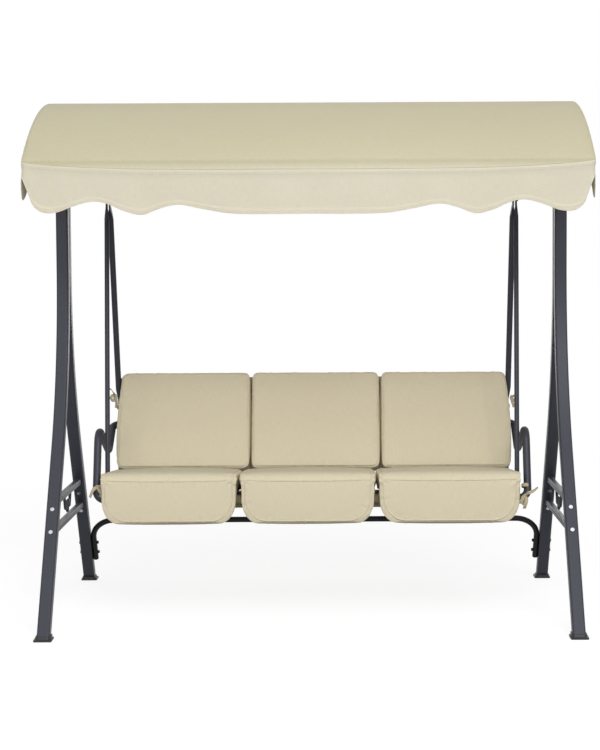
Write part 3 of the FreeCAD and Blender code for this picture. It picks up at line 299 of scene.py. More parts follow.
def face_outwards(obj: bpy.types.Object) -> None:
    """Merges doubles and turns every face of a closed mesh outwards.

    Args:
        obj: The object whose mesh is mended.
    """
    shell = bmesh.new()
    shell.from_mesh(obj.data)
    bmesh.ops.remove_doubles(shell, verts=shell.verts, dist=1e-6)
    bmesh.ops.recalc_face_normals(shell, faces=shell.faces)
    shell.to_mesh(obj.data)
    shell.free()
    obj.data.update()


def apply_modifiers(obj: bpy.types.Object) -> None:
    """Puts the result of an object's modifiers into its mesh and removes them.

    Args:
        obj: The object.
    """
    evaluated = obj.evaluated_get(bpy.context.evaluated_depsgraph_get())
    mesh = bpy.data.meshes.new_from_object(evaluated)
    obj.modifiers.clear()
    obj.data = mesh


def thicken(obj: bpy.types.Object, thickness: float, group: str = "") -> None:
    """Gives a sheet its thickness, half to each side of its middle.

    Args:
        obj: The sheet.
        thickness: The thickness where the vertex group is full, or everywhere without one.
        group: The vertex group that scales the thickness.
    """
    solid = obj.modifiers.new("cloth", "SOLIDIFY")
    solid.thickness, solid.offset, solid.vertex_group = thickness, 0.0, group


def cord_surface(path: np.ndarray, radius: float, sides: int = 8) -> tuple[np.ndarray, np.ndarray]:
    """A round cord along a path: at each point, a circle square to the path, drawn in to a tiny ring at each end.

    Args:
        path: The centre line, one point per row.
        radius: The cord's radius.
        sides: How many points round the circle.

    Returns:
        The vertices as rings by sides, and the UV pairs: the length along and the turn round.
    """
    along = unit(np.gradient(path, axis=0))
    across = unit(np.cross(along, np.array([0.31, 0.57, 0.76])))
    out = np.cross(along, across)
    turn = np.linspace(0.0, 2 * math.pi, sides, endpoint=False)
    swell = np.ones(len(path))
    swell[0] = swell[-1] = 0.05
    ring = across[:, None] * np.cos(turn)[None, :, None] + out[:, None] * np.sin(turn)[None, :, None]
    points = path[:, None] + ring * (radius * swell)[:, None, None]
    uv = np.stack(np.broadcast_arrays(distance_along(path)[:, None], turn[None, :] * radius), axis=-1)
    return points, uv


def grids_object(name: str, grids: list[tuple[np.ndarray, np.ndarray]], ring: bool = False) -> bpy.types.Object:
    """One object from several grids of vertices.

    Args:
        name: The object's name.
        grids: Each grid's vertices, as rows by columns, and its UV pairs.
        ring: Whether the last column of each grid joins its first one again.

    Returns:
        The object.
    """
    faces, start = [], 0
    for points, _ in grids:
        rows, columns = points.shape[:2]
        faces.append(grid_faces(rows, columns, ring, start))
        start += rows * columns
    obj = mesh_object(name, np.vstack([points.reshape(-1, 3) for points, _ in grids]), np.vstack(faces))
    set_uv(obj, np.vstack([uv.reshape(-1, 2) for _, uv in grids]))
    return obj


def cords(name: str, paths: list[np.ndarray], radius: float) -> bpy.types.Object:
    """One object with a round cord of the radius along each path."""
    return grids_object(name, [cord_surface(path, radius) for path in paths], ring=True)


# ---- finishes -----------------------------------------------------------------------------------------------------


class Nodes:
    """Adds shader nodes and links to a material in short calls."""

    def __init__(self, name: str) -> None:
        """Starts a material with an empty node tree and its shader and output.

        Args:
            name: The material's name.
        """
        self.material = bpy.data.materials.new(name)
        self.material.use_nodes = True
        self.tree = self.material.node_tree
        self.tree.nodes.clear()
        self.shader = self.add("ShaderNodeBsdfPrincipled")
        self.output = self.add("ShaderNodeOutputMaterial")
        self.link(self.shader.outputs["BSDF"], self.output.inputs["Surface"])

    def add(self, kind: str, **settings: object) -> bpy.types.Node:
        """Adds a node.

        Args:
            kind: The node's type.
            settings: Properties to set on it, by name.

        Returns:
            The node.
        """
        node = self.tree.nodes.new(kind)
        for key, value in settings.items():
            setattr(node, key, value)
        return node

    def link(self, source: bpy.types.NodeSocket, target: bpy.types.NodeSocket) -> None:
        """Joins an output to an input."""
        self.tree.links.new(source, target)

    def feed(self, socket: bpy.types.NodeSocket, value: object) -> None:
        """Sets a socket to a number or colour, or links it to another node's output.

        Args:
            socket: The input socket.
            value: The number, colour or output socket.
        """
        if isinstance(value, bpy.types.NodeSocket):
            self.link(value, socket)
        else:
            socket.default_value = value

    def math(self, operation: str, *values: object) -> bpy.types.NodeSocket:
        """A Math node.

        Args:
            operation: What the node does.
            values: Its numbers or output sockets, in order.

        Returns:
            The result.
        """
        node = self.add("ShaderNodeMath", operation=operation)
        for socket, value in zip(node.inputs, values):
            self.feed(socket, value)
        return node.outputs[0]

    def noise(self, scale: float, detail: float, vector: bpy.types.NodeSocket) -> bpy.types.NodeSocket:
        """A Noise Texture.

        Args:
            scale: How many bumps there are to a unit of the coordinates.
            detail: How many finer layers it adds.
            vector: The coordinates.

        Returns:
            The height, from 0 to 1.
        """
        node = self.add("ShaderNodeTexNoise")
        node.inputs["Scale"].default_value = scale
        node.inputs["Detail"].default_value = detail
        self.link(vector, node.inputs["Vector"])
        return node.outputs["Fac"]

    def stretched(self, vector: bpy.types.NodeSocket, scale: Triple) -> bpy.types.NodeSocket:
        """Coordinates multiplied along each axis.

        Args:
            vector: The coordinates.
            scale: The factor for each axis.

        Returns:
            The new coordinates.
        """
        node = self.add("ShaderNodeMapping")
        node.inputs["Scale"].default_value = scale
        self.link(vector, node.inputs["Vector"])
        return node.outputs["Vector"]

    def ramp(self, height: bpy.types.NodeSocket, low: float, high: float, bottom: Colour,
             top: Colour) -> bpy.types.NodeSocket:
        """A colour that goes evenly from one to another with a height.

        Args:
            height: The height.
            low: The height of the bottom colour.
            high: The height of the top colour.
            bottom: The colour at and below low.
            top: The colour at and above high.

        Returns:
            The colour.
        """
        node = self.add("ShaderNodeValToRGB")
        first, last = node.color_ramp.elements
        first.position, last.position = low, high
        first.color, last.color = (*bottom, 1.0), (*top, 1.0)
        self.feed(node.inputs["Fac"], height)
        return node.outputs["Color"]

    def blend(self, share: object, first: object, second: object, mode: str = "MIX") -> bpy.types.NodeSocket:
        """Two colours mixed.

        Args:
            share: How much of the second colour goes in, as a number or an output socket.
            first: The first colour, or an output socket.
            second: The second colour, or an output socket.
            mode: How the second goes over the first.

        Returns:
            The mixed colour.
        """
        node = self.add("ShaderNodeMix", data_type="RGBA", blend_type=mode)
        self.feed(node.inputs[0], share)
        for socket, value in ((node.inputs[6], first), (node.inputs[7], second)):
            self.feed(socket, (*value, 1.0) if isinstance(value, tuple) and len(value) == 3 else value)
        return node.outputs[2]

    def bump(self, height: bpy.types.NodeSocket, distance: float, strength: float) -> bpy.types.NodeSocket:
        """A bumped normal from a height.

        Args:
            height: The height, from 0 to 1.
            distance: How high 1 stands, in metres.
            strength: How much of the bump shows.

        Returns:
            The normal.
        """
        node = self.add("ShaderNodeBump")
        node.inputs["Distance"].default_value = distance
        node.inputs["Strength"].default_value = strength
        self.link(height, node.inputs["Height"])
        return node.outputs["Normal"]

    def set(self, **values: object) -> None:
        """Sets or links the shader's own sockets, named with _ for a space."""
        for key, value in values.items():
            self.feed(self.shader.inputs[key.replace("_", " ")], value)


def darker(colour: Colour, share: float) -> Colour:
    """A colour multiplied by a share."""
    return tuple(channel * share for channel in colour)


def seen_by_eye(tree: bpy.types.NodeTree) -> bpy.types.NodeSocket:
    """Tells rays that are seen from rays that light a matt surface.

    Args:
        tree: The node tree to add to.

    Returns:
        1 for a ray seen straight, in a reflection or through something clear, and 0 for any other.
    """
    path = tree.nodes.new("ShaderNodeLightPath").outputs
    seen = path["Is Camera Ray"]
    for kind in ("Is Glossy Ray", "Is Transmission Ray"):
        more = tree.nodes.new("ShaderNodeMath")
        more.operation = "MAXIMUM"
        tree.links.new(seen, more.inputs[0])
        tree.links.new(path[kind], more.inputs[1])
        seen = more.outputs[0]
    return seen


@dataclass(frozen=True)
class PowderCoat:
    """Satin powder coat on steel: an even colour, a fine orange-peel surface and a faint speckle."""

    name: str
    colour: Colour
    roughness: float
    peel_scale: float = 900.0
    peel_height: float = 0.00005
    sheen_of_flake: float = 0.25
    gloss: float = 0.12

    def make(self) -> bpy.types.Material:
        """Makes the material: a fine speckle, a peel that bumps it, and wide patches that pale and dull it.

        Returns:
            The material.
        """
        nodes = Nodes(self.name)
        place = nodes.add("ShaderNodeTexCoord").outputs["Object"]
        speckle = nodes.noise(2600.0, 2.0, place)
        patches = nodes.noise(9.0, 3.0, place)
        colour = nodes.ramp(speckle, 0.35, 0.7, darker(self.colour, 0.88), darker(self.colour, 1.14))
        dusty = nodes.blend(nodes.math("MULTIPLY", patches, 0.06), colour, (0.12, 0.12, 0.125))
        peel = nodes.noise(self.peel_scale, 2.0, place)
        rough = nodes.math("ADD", nodes.math("MULTIPLY", patches, 0.10), self.roughness - 0.05)
        nodes.set(Base_Color=dusty, Roughness=rough, Metallic=self.sheen_of_flake,
                  Normal=nodes.bump(peel, self.peel_height, 0.5))
        nodes.set(Coat_Weight=0.05, Coat_Roughness=0.3, Specular_IOR_Level=self.gloss)
        return nodes.material


@dataclass(frozen=True)
class ZincPlate:
    """Zinc-plated steel: bright grey metal with brushed grain and a few duller patches."""

    name: str
    colour: Colour = (0.42, 0.42, 0.43)

    def make(self) -> bpy.types.Material:
        """Makes the material: grain drawn out along X bumps it and varies its gloss, and small patches darken it.

        Returns:
            The material.
        """
        nodes = Nodes(self.name)
        place = nodes.add("ShaderNodeTexCoord").outputs["Object"]
        grain = nodes.noise(60.0, 4.0, nodes.stretched(place, (1.0, 14.0, 14.0)))
        patches = nodes.noise(300.0, 2.0, place)
        colour = nodes.ramp(patches, 0.3, 0.75, darker(self.colour, 0.8), self.colour)
        rough = nodes.math("ADD", nodes.math("MULTIPLY", grain, 0.2), 0.22)
        nodes.set(Base_Color=colour, Metallic=1.0, Roughness=rough, Normal=nodes.bump(grain, 0.00003, 0.4))
        return nodes.material


@dataclass(frozen=True)
class MouldedPlastic:
    """Black moulded plastic with a fine spark-eroded grain."""

    name: str
    colour: Colour
    roughness: float = 0.5

    def make(self) -> bpy.types.Material:
        """Makes the material: a fine grain bumps it, and faint scuffs pale and dull it.

        Returns:
            The material.
        """
        nodes = Nodes(self.name)
        place = nodes.add("ShaderNodeTexCoord").outputs["Object"]
        grain = nodes.noise(3500.0, 2.0, place)
        scuffs = nodes.noise(40.0, 5.0, place)
        colour = nodes.ramp(scuffs, 0.4, 0.8, self.colour, darker(self.colour, 1.9))
        rough = nodes.math("ADD", nodes.math("MULTIPLY", scuffs, 0.15), self.roughness - 0.07)
        nodes.set(Base_Color=colour, Roughness=rough, Normal=nodes.bump(grain, 0.00006, 0.6))
        return nodes.material


@dataclass(frozen=True)
class WovenCloth:
    """Plain-woven polyester: crossing threads, uneven yarn, a soft sheen and slight fading.

    The weave reads the piece's own UV map in metres, so that the threads follow the cloth. Along V, the fold is
    where the colour of the cloth that lies flat turns into that of the cloth that hangs: one cloth, its flat top
    painted darker and yellower as painted shade. stitched_at is where a stitched line runs, drawn as a thin line of
    painted shade: on the valance, 17 mm below its top. The weave's hollows are darkened as painted shade.
    """

    name: str
    colour: Colour
    hanging_colour: Colour | None = None
    fold: tuple[float, float] = (0.597, 0.616)
    stitched_at: float = 0.0
    stitch_width: float = 0.0009
    thread: float = 0.0009
    weave_height: float = 0.00012
    unevenness: float = 0.05
    sheen: float = 0.06
    glow_through: float = 0.0
    glow_depth: float = 0.0045

    def make(self) -> bpy.types.Material:
        """Makes the material.

        The weave's height is half of one plus the product of two sines, one for each direction of the threads. The
        yarn's height, noise drawn out both ways, is added at half its strength.

        Returns:
            The material.
        """
        nodes = Nodes(self.name)
        place = nodes.add("ShaderNodeTexCoord").outputs["Object"]
        cloth = nodes.add("ShaderNodeUVMap", uv_map="cloth").outputs["UV"]
        parts = nodes.add("ShaderNodeSeparateXYZ")
        nodes.link(cloth, parts.inputs["Vector"])
        turns = math.pi / self.thread
        warp = nodes.math("SINE", nodes.math("MULTIPLY", parts.outputs["X"], turns))
        weft = nodes.math("SINE", nodes.math("MULTIPLY", parts.outputs["Y"], turns))
        weave = nodes.math("MULTIPLY_ADD", nodes.math("MULTIPLY", warp, weft), 0.5, 0.5)
        yarn = nodes.math("ADD", nodes.noise(1.0, 3.0, nodes.stretched(cloth, (40.0, 900.0, 1.0))),
                          nodes.noise(1.0, 3.0, nodes.stretched(cloth, (900.0, 40.0, 1.0))))
        fading = nodes.noise(2.2, 4.0, place)
        # Painted shade: where a second colour is given, the flat top keeps the darker, yellower first colour and the
        # hanging cloth takes the paler second one, blended across the fold; both are one cloth.
        hanging = nodes.ramp(nodes.math("ABSOLUTE", parts.outputs["Y"]), *self.fold, (0.0, 0.0, 0.0), WHITE)
        dye_and_painted_top_shade = nodes.blend(hanging, self.colour, self.hanging_colour or self.colour)
        uneven = nodes.ramp(nodes.math("MULTIPLY", yarn, 0.5), 0.36, 0.64, darker(WHITE, 1 - 2 * self.unevenness),
                            WHITE)
        # Painted shade: the colour darkens where the weave is low, in the hollows between the threads.
        between = nodes.ramp(weave, 0.0, 1.0, (0.93, 0.92, 0.90), WHITE)
        faded = nodes.ramp(fading, 0.3, 0.7, (0.97, 0.965, 0.955), WHITE)
        # Painted shade: a thin darker line along the stitched line, standing in for the shadow in its groove.
        stitched = nodes.math("COMPARE", parts.outputs["Y"], self.stitched_at,
                              self.stitch_width if self.stitched_at else 0.0)
        line = nodes.ramp(stitched, 0.0, 1.0, WHITE, (0.94, 0.935, 0.92))
        colour = dye_and_painted_top_shade
        for layer in (uneven, between, faded, line):
            colour = nodes.blend(1.0, colour, layer, "MULTIPLY")
        height = nodes.math("ADD", weave, nodes.math("MULTIPLY", yarn, 0.5))
        nodes.set(Base_Color=colour, Roughness=0.88, Normal=nodes.bump(height, self.weave_height, 0.8))
        nodes.set(Sheen_Weight=self.sheen, Sheen_Roughness=0.5, Specular_IOR_Level=0.12)
        if self.glow_through:
            nodes.set(Subsurface_Weight=self.glow_through, Subsurface_Radius=(1.0, 0.8, 0.45),
                      Subsurface_Scale=self.glow_depth)
        return nodes.material


@dataclass
class Finishes:
    """Every finish on the bench, each named for the record's slot that it serves; tie_fabric is the ties' own."""

    # Partly painted reflection: the grey is the coat's own, and its slight blue tint stands in for the reflection of
    # bluish light on the front legs.
    grey_steel: PowderCoat = PowderCoat("grey_powder_coat", (0.050, 0.052, 0.065), 0.46)
    black_steel: PowderCoat = PowderCoat("black_powder_coat", (0.012, 0.012, 0.013), 0.45)
    zinc_steel: ZincPlate = ZincPlate("zinc_plate")
    black_plastic: MouldedPlastic = MouldedPlastic("black_moulded_plastic", (0.005, 0.005, 0.0055))
    # The canopy's first colour, for its flat top, is painted darker and yellower than the second, the valance's, as
    # painted shade.
    canopy_fabric: WovenCloth = WovenCloth("canopy_cloth", (0.590, 0.545, 0.385), (0.705, 0.660, 0.540),
                                           stitched_at=3.017, glow_through=0.35)
    cushion_fabric: WovenCloth = WovenCloth("cushion_cloth", (0.730, 0.660, 0.490))
    # Painted shade: the slings' beige cloth is given the darker brown that it shows in the shade between and below
    # the cushions.
    sling_fabric: WovenCloth = WovenCloth("sling_cloth", (0.42, 0.37, 0.24), thread=0.0014, unevenness=0.09)
    tie_fabric: WovenCloth = WovenCloth("tie_tape", (0.58, 0.51, 0.36), thread=0.0012, unevenness=0.08)
    made: dict[str, bpy.types.Material] = field(default_factory=dict)

    def of(self, finish: str) -> bpy.types.Material:
        """The material of a finish, made once.

        Args:
            finish: The finish's name in this class.

        Returns:
            The material.
        """
        if finish not in self.made:
            self.made[finish] = getattr(self, finish).make()
        return self.made[finish]

    def dress(self, obj: bpy.types.Object, slot: str, finish: str = "") -> None:
        """Gives a new piece the material of its slot, or of another finish.

        Args:
            obj: The piece.
            slot: The record's material slot.
            finish: Another finish of this class, where the slot's own isn't the one to use.
        """
        obj.data.materials.clear()
        obj.data.materials.append(self.of(finish or slot))

    def dress_frame(self, frame: dict) -> None:
        """Gives every CAD node the finish of its slot in the record.
        """
        slots = {part["node"]: part["material_slot"] for part in frame["record"]["subparts"]}
        for name, obj in frame["nodes"].items():
            obj.data.materials.clear()
            obj.data.materials.append(self.of(slots[name]))
            log.info("finish %s: %s", name, slots[name])


# ---- canopy -------------------------------------------------------------------------------------------------------


@dataclass
class CanopyCover:
    """The canopy's cloth: one arched sheet with a hanging valance round all four edges.

    The top is a surface of two shares, across (a) and along the arch (b), both from -1 to 1. It follows the arch
    and sags a little between the three rails; past the end rails it wraps down round them and hangs, further in
    the middle than at the corners. The valance is a ring round the top's rim: it drops from the rim by a depth
    that waves along each side, and sways a little out and in. A hem runs along its edge, where the cloth is double.

    The hem's turning points are pairs: the share of the half side, from its middle to its corner, and the depth
    there as a share of the valance. On the UV map, V is 0 at the crown and grows to both sides along the top, and
    the valance's own V starts at valance_v, at the rim.
    """

    half_width: float = 0.868
    radius: float = 1.2150
    tilt: float = math.radians(7.0)
    chord_height: float = 1.540
    rise: float = 0.142
    rail_angle: float = 0.4787
    rail_wrap: float = 0.0118
    past_rail: float = 0.0115
    edge_droop: float = 0.024
    panel_sag: float = 0.012
    edge_rows: float = 0.8
    valance: float = 0.143
    valance_v: float = 3.0
    hem_width: float = 0.014
    hem_step: float = 0.0003
    hem_rows: tuple[float, ...] = (0.93, 0.6, 0.3, 0.08, 0.0)
    stand_off: float = 0.004
    sway: float = 0.004
    tuck: float = 0.003
    thickness: float = 0.0011
    single: float = 0.55
    seam_radius: float = 0.0011
    seam_out: float = 0.0022
    seam_down: float = 0.0012
    columns: int = 201
    rows: int = 121
    valance_rows: int = 26
    front_hem: tuple[tuple[float, float], ...] = (
        (0.0, 0.955), (0.13, 0.96), (0.27, 0.945), (0.37, 0.85), (0.455, 0.76), (0.52, 0.84), (0.585, 0.98),
        (0.65, 0.90), (0.70, 0.775), (0.755, 0.725), (0.82, 0.84), (0.88, 1.0), (0.93, 1.03), (0.965, 0.90),
        (0.985, 0.58), (1.0, 0.34))
    side_hem: tuple[tuple[float, float], ...] = (
        (0.0, 1.0), (0.12, 0.99), (0.28, 0.90), (0.42, 0.74), (0.52, 0.70), (0.62, 0.80), (0.74, 0.97), (0.84, 1.0),
        (0.91, 1.0), (0.955, 0.92), (0.982, 0.64), (1.0, 0.34))

    def edge_length(self, across: np.ndarray) -> np.ndarray:
        """How far the top's cloth runs on past the end rails: least at the corners, most in the middle."""
        return self.past_rail + self.edge_droop * (1.0 - np.abs(across) ** 4.5)

    def reach(self, across: np.ndarray, along: np.ndarray) -> np.ndarray:
        """How far from the crown a point lies along the cloth, in even steps on the arch and even steps past it.

        Args:
            across: Shares of the half width, from -1 at the left to 1 at the right.
            along: Shares of the rows, from -1 at the front to 1 at the rear.

        Returns:
            The distances in metres, negative towards the front.
        """
        on_arch = np.minimum(np.abs(along) / self.edge_rows, 1.0) * self.rail_angle * self.radius
        past = np.clip((np.abs(along) - self.edge_rows) / (1.0 - self.edge_rows), 0.0, 1.0)
        return np.sign(along) * (on_arch + past * self.edge_length(across))

    def arch(self, across: np.ndarray, along: np.ndarray) -> np.ndarray:
        """Points of the top: an arc about the canopy's own centre, then a small arc about the end rail, then down.

        Between the rails the cloth sags by a sine squared along the arch, and not at all at its two sides.

        Args:
            across: Shares of the half width, from -1 at the left to 1 at the right.
            along: Shares of the rows, from -1 at the front to 1 at the rear.

        Returns:
            The points, with X, Y and Z last.
        """
        reach, end = self.reach(across, along), np.sign(along)
        limit = self.rail_angle * self.radius
        angle = np.clip(reach, -limit, limit) / self.radius - self.tilt
        crown_y = (self.radius - self.rise) * math.sin(self.tilt)
        crown_z = self.chord_height - (self.radius - self.rise) * math.cos(self.tilt)
        y = crown_y + self.radius * np.sin(angle)
        z = crown_z + self.radius * np.cos(angle)
        held = np.abs(across) ** 2.4
        z = z - self.panel_sag * np.sin(math.pi * np.minimum(np.abs(reach) / limit, 1.0)) ** 2 * (1.0 - held)
        past = np.maximum(np.abs(reach) - limit, 0.0)
        first = end * angle
        turned = np.minimum(first + past / self.rail_wrap, math.pi / 2)
        hang = np.maximum(past - self.rail_wrap * (math.pi / 2 - first), 0.0)
        y = y + (past > 0) * end * self.rail_wrap * (np.sin(turned) - np.sin(first))
        z = z + (past > 0) * (self.rail_wrap * (np.cos(turned) - np.cos(first)) - hang)
        return np.stack([across * self.half_width, y, z], axis=-1)

    def drop(self, hem: tuple[tuple[float, float], ...], share: np.ndarray) -> np.ndarray:
        """How deep the valance hangs, on a smooth curve through the hem's turning points and their mirror image.

        Args:
            hem: The turning points of half a side.
            share: Shares of the half side, from -1 to 1.

        Returns:
            The depths in metres.
        """
        table = np.array([(-s, d) for s, d in reversed(hem[1:])] + list(hem))
        curve = through_points(table, 600)
        return self.valance * np.interp(share, curve[:, 0], curve[:, 1])

    def rim(self) -> tuple[np.ndarray, np.ndarray, np.ndarray]:
        """The top's rim, counter-clockwise from the front left corner.

        Returns:
            The rim's points, the depth of the valance below each, and the outward direction at each.
        """
        a, b = np.linspace(-1, 1, self.columns), np.linspace(-1, 1, self.rows)
        one_a, one_b = np.ones_like(a), np.ones_like(b)
        across = np.concatenate([a[:-1], one_b[:-1], a[::-1][:-1], -one_b[:-1]])
        along = np.concatenate([-one_a[:-1], b[:-1], one_a[:-1], b[::-1][:-1]])
        side_share = self.reach(one_b, b) / self.reach(1.0, 1.0)
        front, side = self.drop(self.front_hem, a), self.drop(self.side_hem, side_share)
        depth = np.concatenate([front[:-1], side[:-1], front[::-1][:-1], side[::-1][:-1]])
        reach_a = smooth_step(0.985, 1.0, np.abs(across)) * np.sign(across)
        reach_b = smooth_step(0.98, 1.0, np.abs(along)) * np.sign(along)
        out = unit(np.stack([reach_a, reach_b, 0 * across], axis=-1))
        return self.arch(across, along), depth, out

    def surface(self) -> tuple[np.ndarray, np.ndarray, np.ndarray, np.ndarray]:
        """The whole cover as one mesh, the valance swaying by a sum of three sines round the rim.

        Returns:
            The vertices, the faces, the UV pairs in metres, and each vertex's share of the thickness.
        """
        a, b = np.meshgrid(np.linspace(-1, 1, self.columns), np.linspace(-1, 1, self.rows), indexing="xy")
        top = self.arch(a, b)
        top_uv = np.stack([a * self.half_width, self.reach(a, b)], axis=-1)
        rim, depth, out = self.rim()
        count = len(rim)
        hem_share = self.hem_width / depth.mean()
        w = np.concatenate([np.linspace(0, 1 - hem_share, self.valance_rows - len(self.hem_rows))[1:],
                            1 - hem_share * np.array(self.hem_rows)])[:, None]
        walk = distance_along(rim)
        total = walk[-1] + np.linalg.norm(rim[0] - rim[-1])
        turn = 2 * math.pi * walk / total
        wave = (np.sin(23 * turn + 0.7) + 0.7 * np.sin(37 * turn + 2.1) + 0.5 * np.sin(9 * turn + 1.2)) / 2.2
        fall = w * depth[None, :]
        in_hem = w > 1 - 0.97 * hem_share
        swing = (self.sway * smooth_step(0.0, 0.10, fall) * (0.35 + wave[None, :])
                 - self.tuck * smooth_step(0.0, 0.03, fall))
        proud = swing + self.hem_step * in_hem + self.stand_off
        ring = rim[None] + out[None] * proud[..., None] * smooth_step(0.0, 0.006, fall)[..., None]
        ring[..., 2] = rim[None, :, 2] - fall
        ring_uv = np.stack(np.broadcast_arrays(walk[None, :], self.valance_v + fall), axis=-1)
        points = np.vstack([top.reshape(-1, 3), ring.reshape(-1, 3)])
        uv = np.vstack([top_uv.reshape(-1, 2), ring_uv.reshape(-1, 2)])
        size = np.concatenate([np.full(self.rows * self.columns, self.single),
                               np.broadcast_to(np.where(in_hem, 1.0, self.single), (len(w), count)).ravel()])
        faces = np.vstack([grid_faces(self.rows, self.columns), self.collar(len(w), count)])
        return points, faces, uv, size

    def collar(self, ring_rows: int, count: int) -> np.ndarray:
        """The valance's faces, the first row of which hangs from the top's own rim.

        Args:
            ring_rows: How many rows of vertices hang below the rim.
            count: How many vertices go round the rim.

        Returns:
            The vertex numbers of each face.
        """
        columns, rows = self.columns, self.rows
        numbers = np.arange(rows * columns).reshape(rows, columns)
        rim = np.concatenate([numbers[0, :-1], numbers[:-1, -1], numbers[-1, ::-1][:-1], numbers[::-1, 0][:-1]])
        below = rows * columns + np.arange(ring_rows * count).reshape(ring_rows, count)
        levels = np.vstack([rim[None], below])
        after = np.roll(levels, -1, axis=1)
        return np.stack([levels[:-1], levels[1:], after[1:], after[:-1]], axis=-1).reshape(-1, 4)

    def seam_path(self) -> np.ndarray:
        """The seam where the valance is sewn to the top, once round the rim, a little out from it and below.

        Returns:
            The seam's points, the last of which is the first again.
        """
        rim, _, out = self.rim()
        past_rim = np.vstack([out, out[:1]]) * self.seam_out
        return np.vstack([rim, rim[:1]]) + past_rim + np.array([0.0, 0.0, -self.seam_down])

    def flat_area(self) -> float:
        """The area of the cut cloth: the top and the four valances laid flat.

        Returns:
            The area in square metres.
        """
        shares = np.linspace(-1, 1, 2001)
        top = 4 * self.half_width * (self.rail_angle * self.radius + self.edge_length(shares).mean())
        front = 2 * self.half_width * self.drop(self.front_hem, shares).mean()
        side = 2 * (self.rail_angle * self.radius + self.past_rail) * self.drop(self.side_hem, shares).mean()
        return top + 2 * front + 2 * side

    def build(self, finishes: Finishes) -> list[bpy.types.Object]:
        """Makes the cover and its seam and puts them on the canopy frame.

        Args:
            finishes: The bench's finishes.

        Returns:
            The new pieces.
        """
        points, faces, uv, size = self.surface()
        cover = mesh_object("canopy_cover", points, faces)
        set_uv(cover, uv)
        group = cover.vertex_groups.new(name="thickness")
        for value in np.unique(size):
            group.add(np.flatnonzero(size == value).tolist(), float(value), "REPLACE")
        thicken(cover, self.thickness / self.single, group.name)
        finishes.dress(cover, "canopy_fabric")
        seam = cords("canopy_seam", [self.seam_path()], self.seam_radius)
        finishes.dress(seam, "canopy_fabric")
        nodes = ["canopy_top", "canopy_valance_front", "canopy_valance_rear", "canopy_valance_left",
                 "canopy_valance_right"]
        for piece in (cover, seam):
            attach(piece, Body.CANOPY.value)
        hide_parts(*nodes)
        self.flat_area()
        return [cover, seam]


# ---- seat cloth ---------------------------------------------------------------------------------------------------


def rail_middle(node: str) -> np.ndarray:
    """The middle of a rail that runs along X, seen from the side, as (Y, Z)."""
    low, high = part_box(node)
    return np.array([(low.y + high.y) / 2, (low.z + high.z) / 2])


@dataclass
class Sling:
    """A cloth stretched between two rails and sewn round each, a little slack between them.

    From the side it is one path: up from the skirt's edge, round the first rail, straight across with a shallow dip
    (a sine squared), and round the second rail. The path is swept along X, and waves a little on the way.
    """

    name: str
    node: str
    rails: tuple[str, str]
    skirt: float = 0.0
    rail: float = 0.025
    rail_gap: float = 0.0006
    dip: float = 0.006
    slack: float = 0.0015
    half: float = 0.639
    thickness: float = 0.0012

    def profile(self) -> np.ndarray:
        """The path from the side.

        Returns:
            Its points as (Y, Z) rows.
        """
        start, end = (rail_middle(rail) for rail in self.rails)
        along = unit(end - start)
        out = np.array([-along[1], along[0]])
        radius = self.rail / 2 + self.thickness / 2 + self.rail_gap
        turn = np.linspace(math.radians(-250), 0.0, 26)
        first = start + radius * (np.sin(turn)[:, None] * along + np.cos(turn)[:, None] * out)
        second = end + radius * (-np.sin(turn[::-1])[:, None] * along + np.cos(turn[::-1])[:, None] * out)
        share = np.linspace(0, 1, 30)[1:-1, None]
        across = start + radius * out + share * (end - start)
        across = across - out * self.dip * np.sin(math.pi * share) ** 2
        path = np.vstack([first, across, second])
        if self.skirt:
            edge = path[0] + np.array([[0.0, -1.0]]) * np.linspace(self.skirt, 0, 8)[:-1, None]
            path = np.vstack([edge, path])
        return path

    def build(self, finishes: Finishes) -> bpy.types.Object:
        """Makes the sling and puts it on the swing.

        Args:
            finishes: The bench's finishes.

        Returns:
            The sling.
        """
        path = self.profile()
        x = np.linspace(-self.half, self.half, 121)
        distance = distance_along(path)
        slack = self.slack * np.sin(x * 31.0)[None, :] * np.sin(math.pi * distance / distance[-1])[:, None] ** 2
        points = np.stack(np.broadcast_arrays(x[None, :], path[:, :1], path[:, 1:] + slack), axis=-1)
        uv = np.stack(np.broadcast_arrays(x[None, :], distance[:, None]), axis=-1)
        sling = grids_object(self.name, [(points, uv)])
        thicken(sling, self.thickness)
        finishes.dress(sling, "sling_fabric")
        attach(sling, Body.SWING.value)
        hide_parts(self.node)
        return sling


# ---- cushions -----------------------------------------------------------------------------------------------------


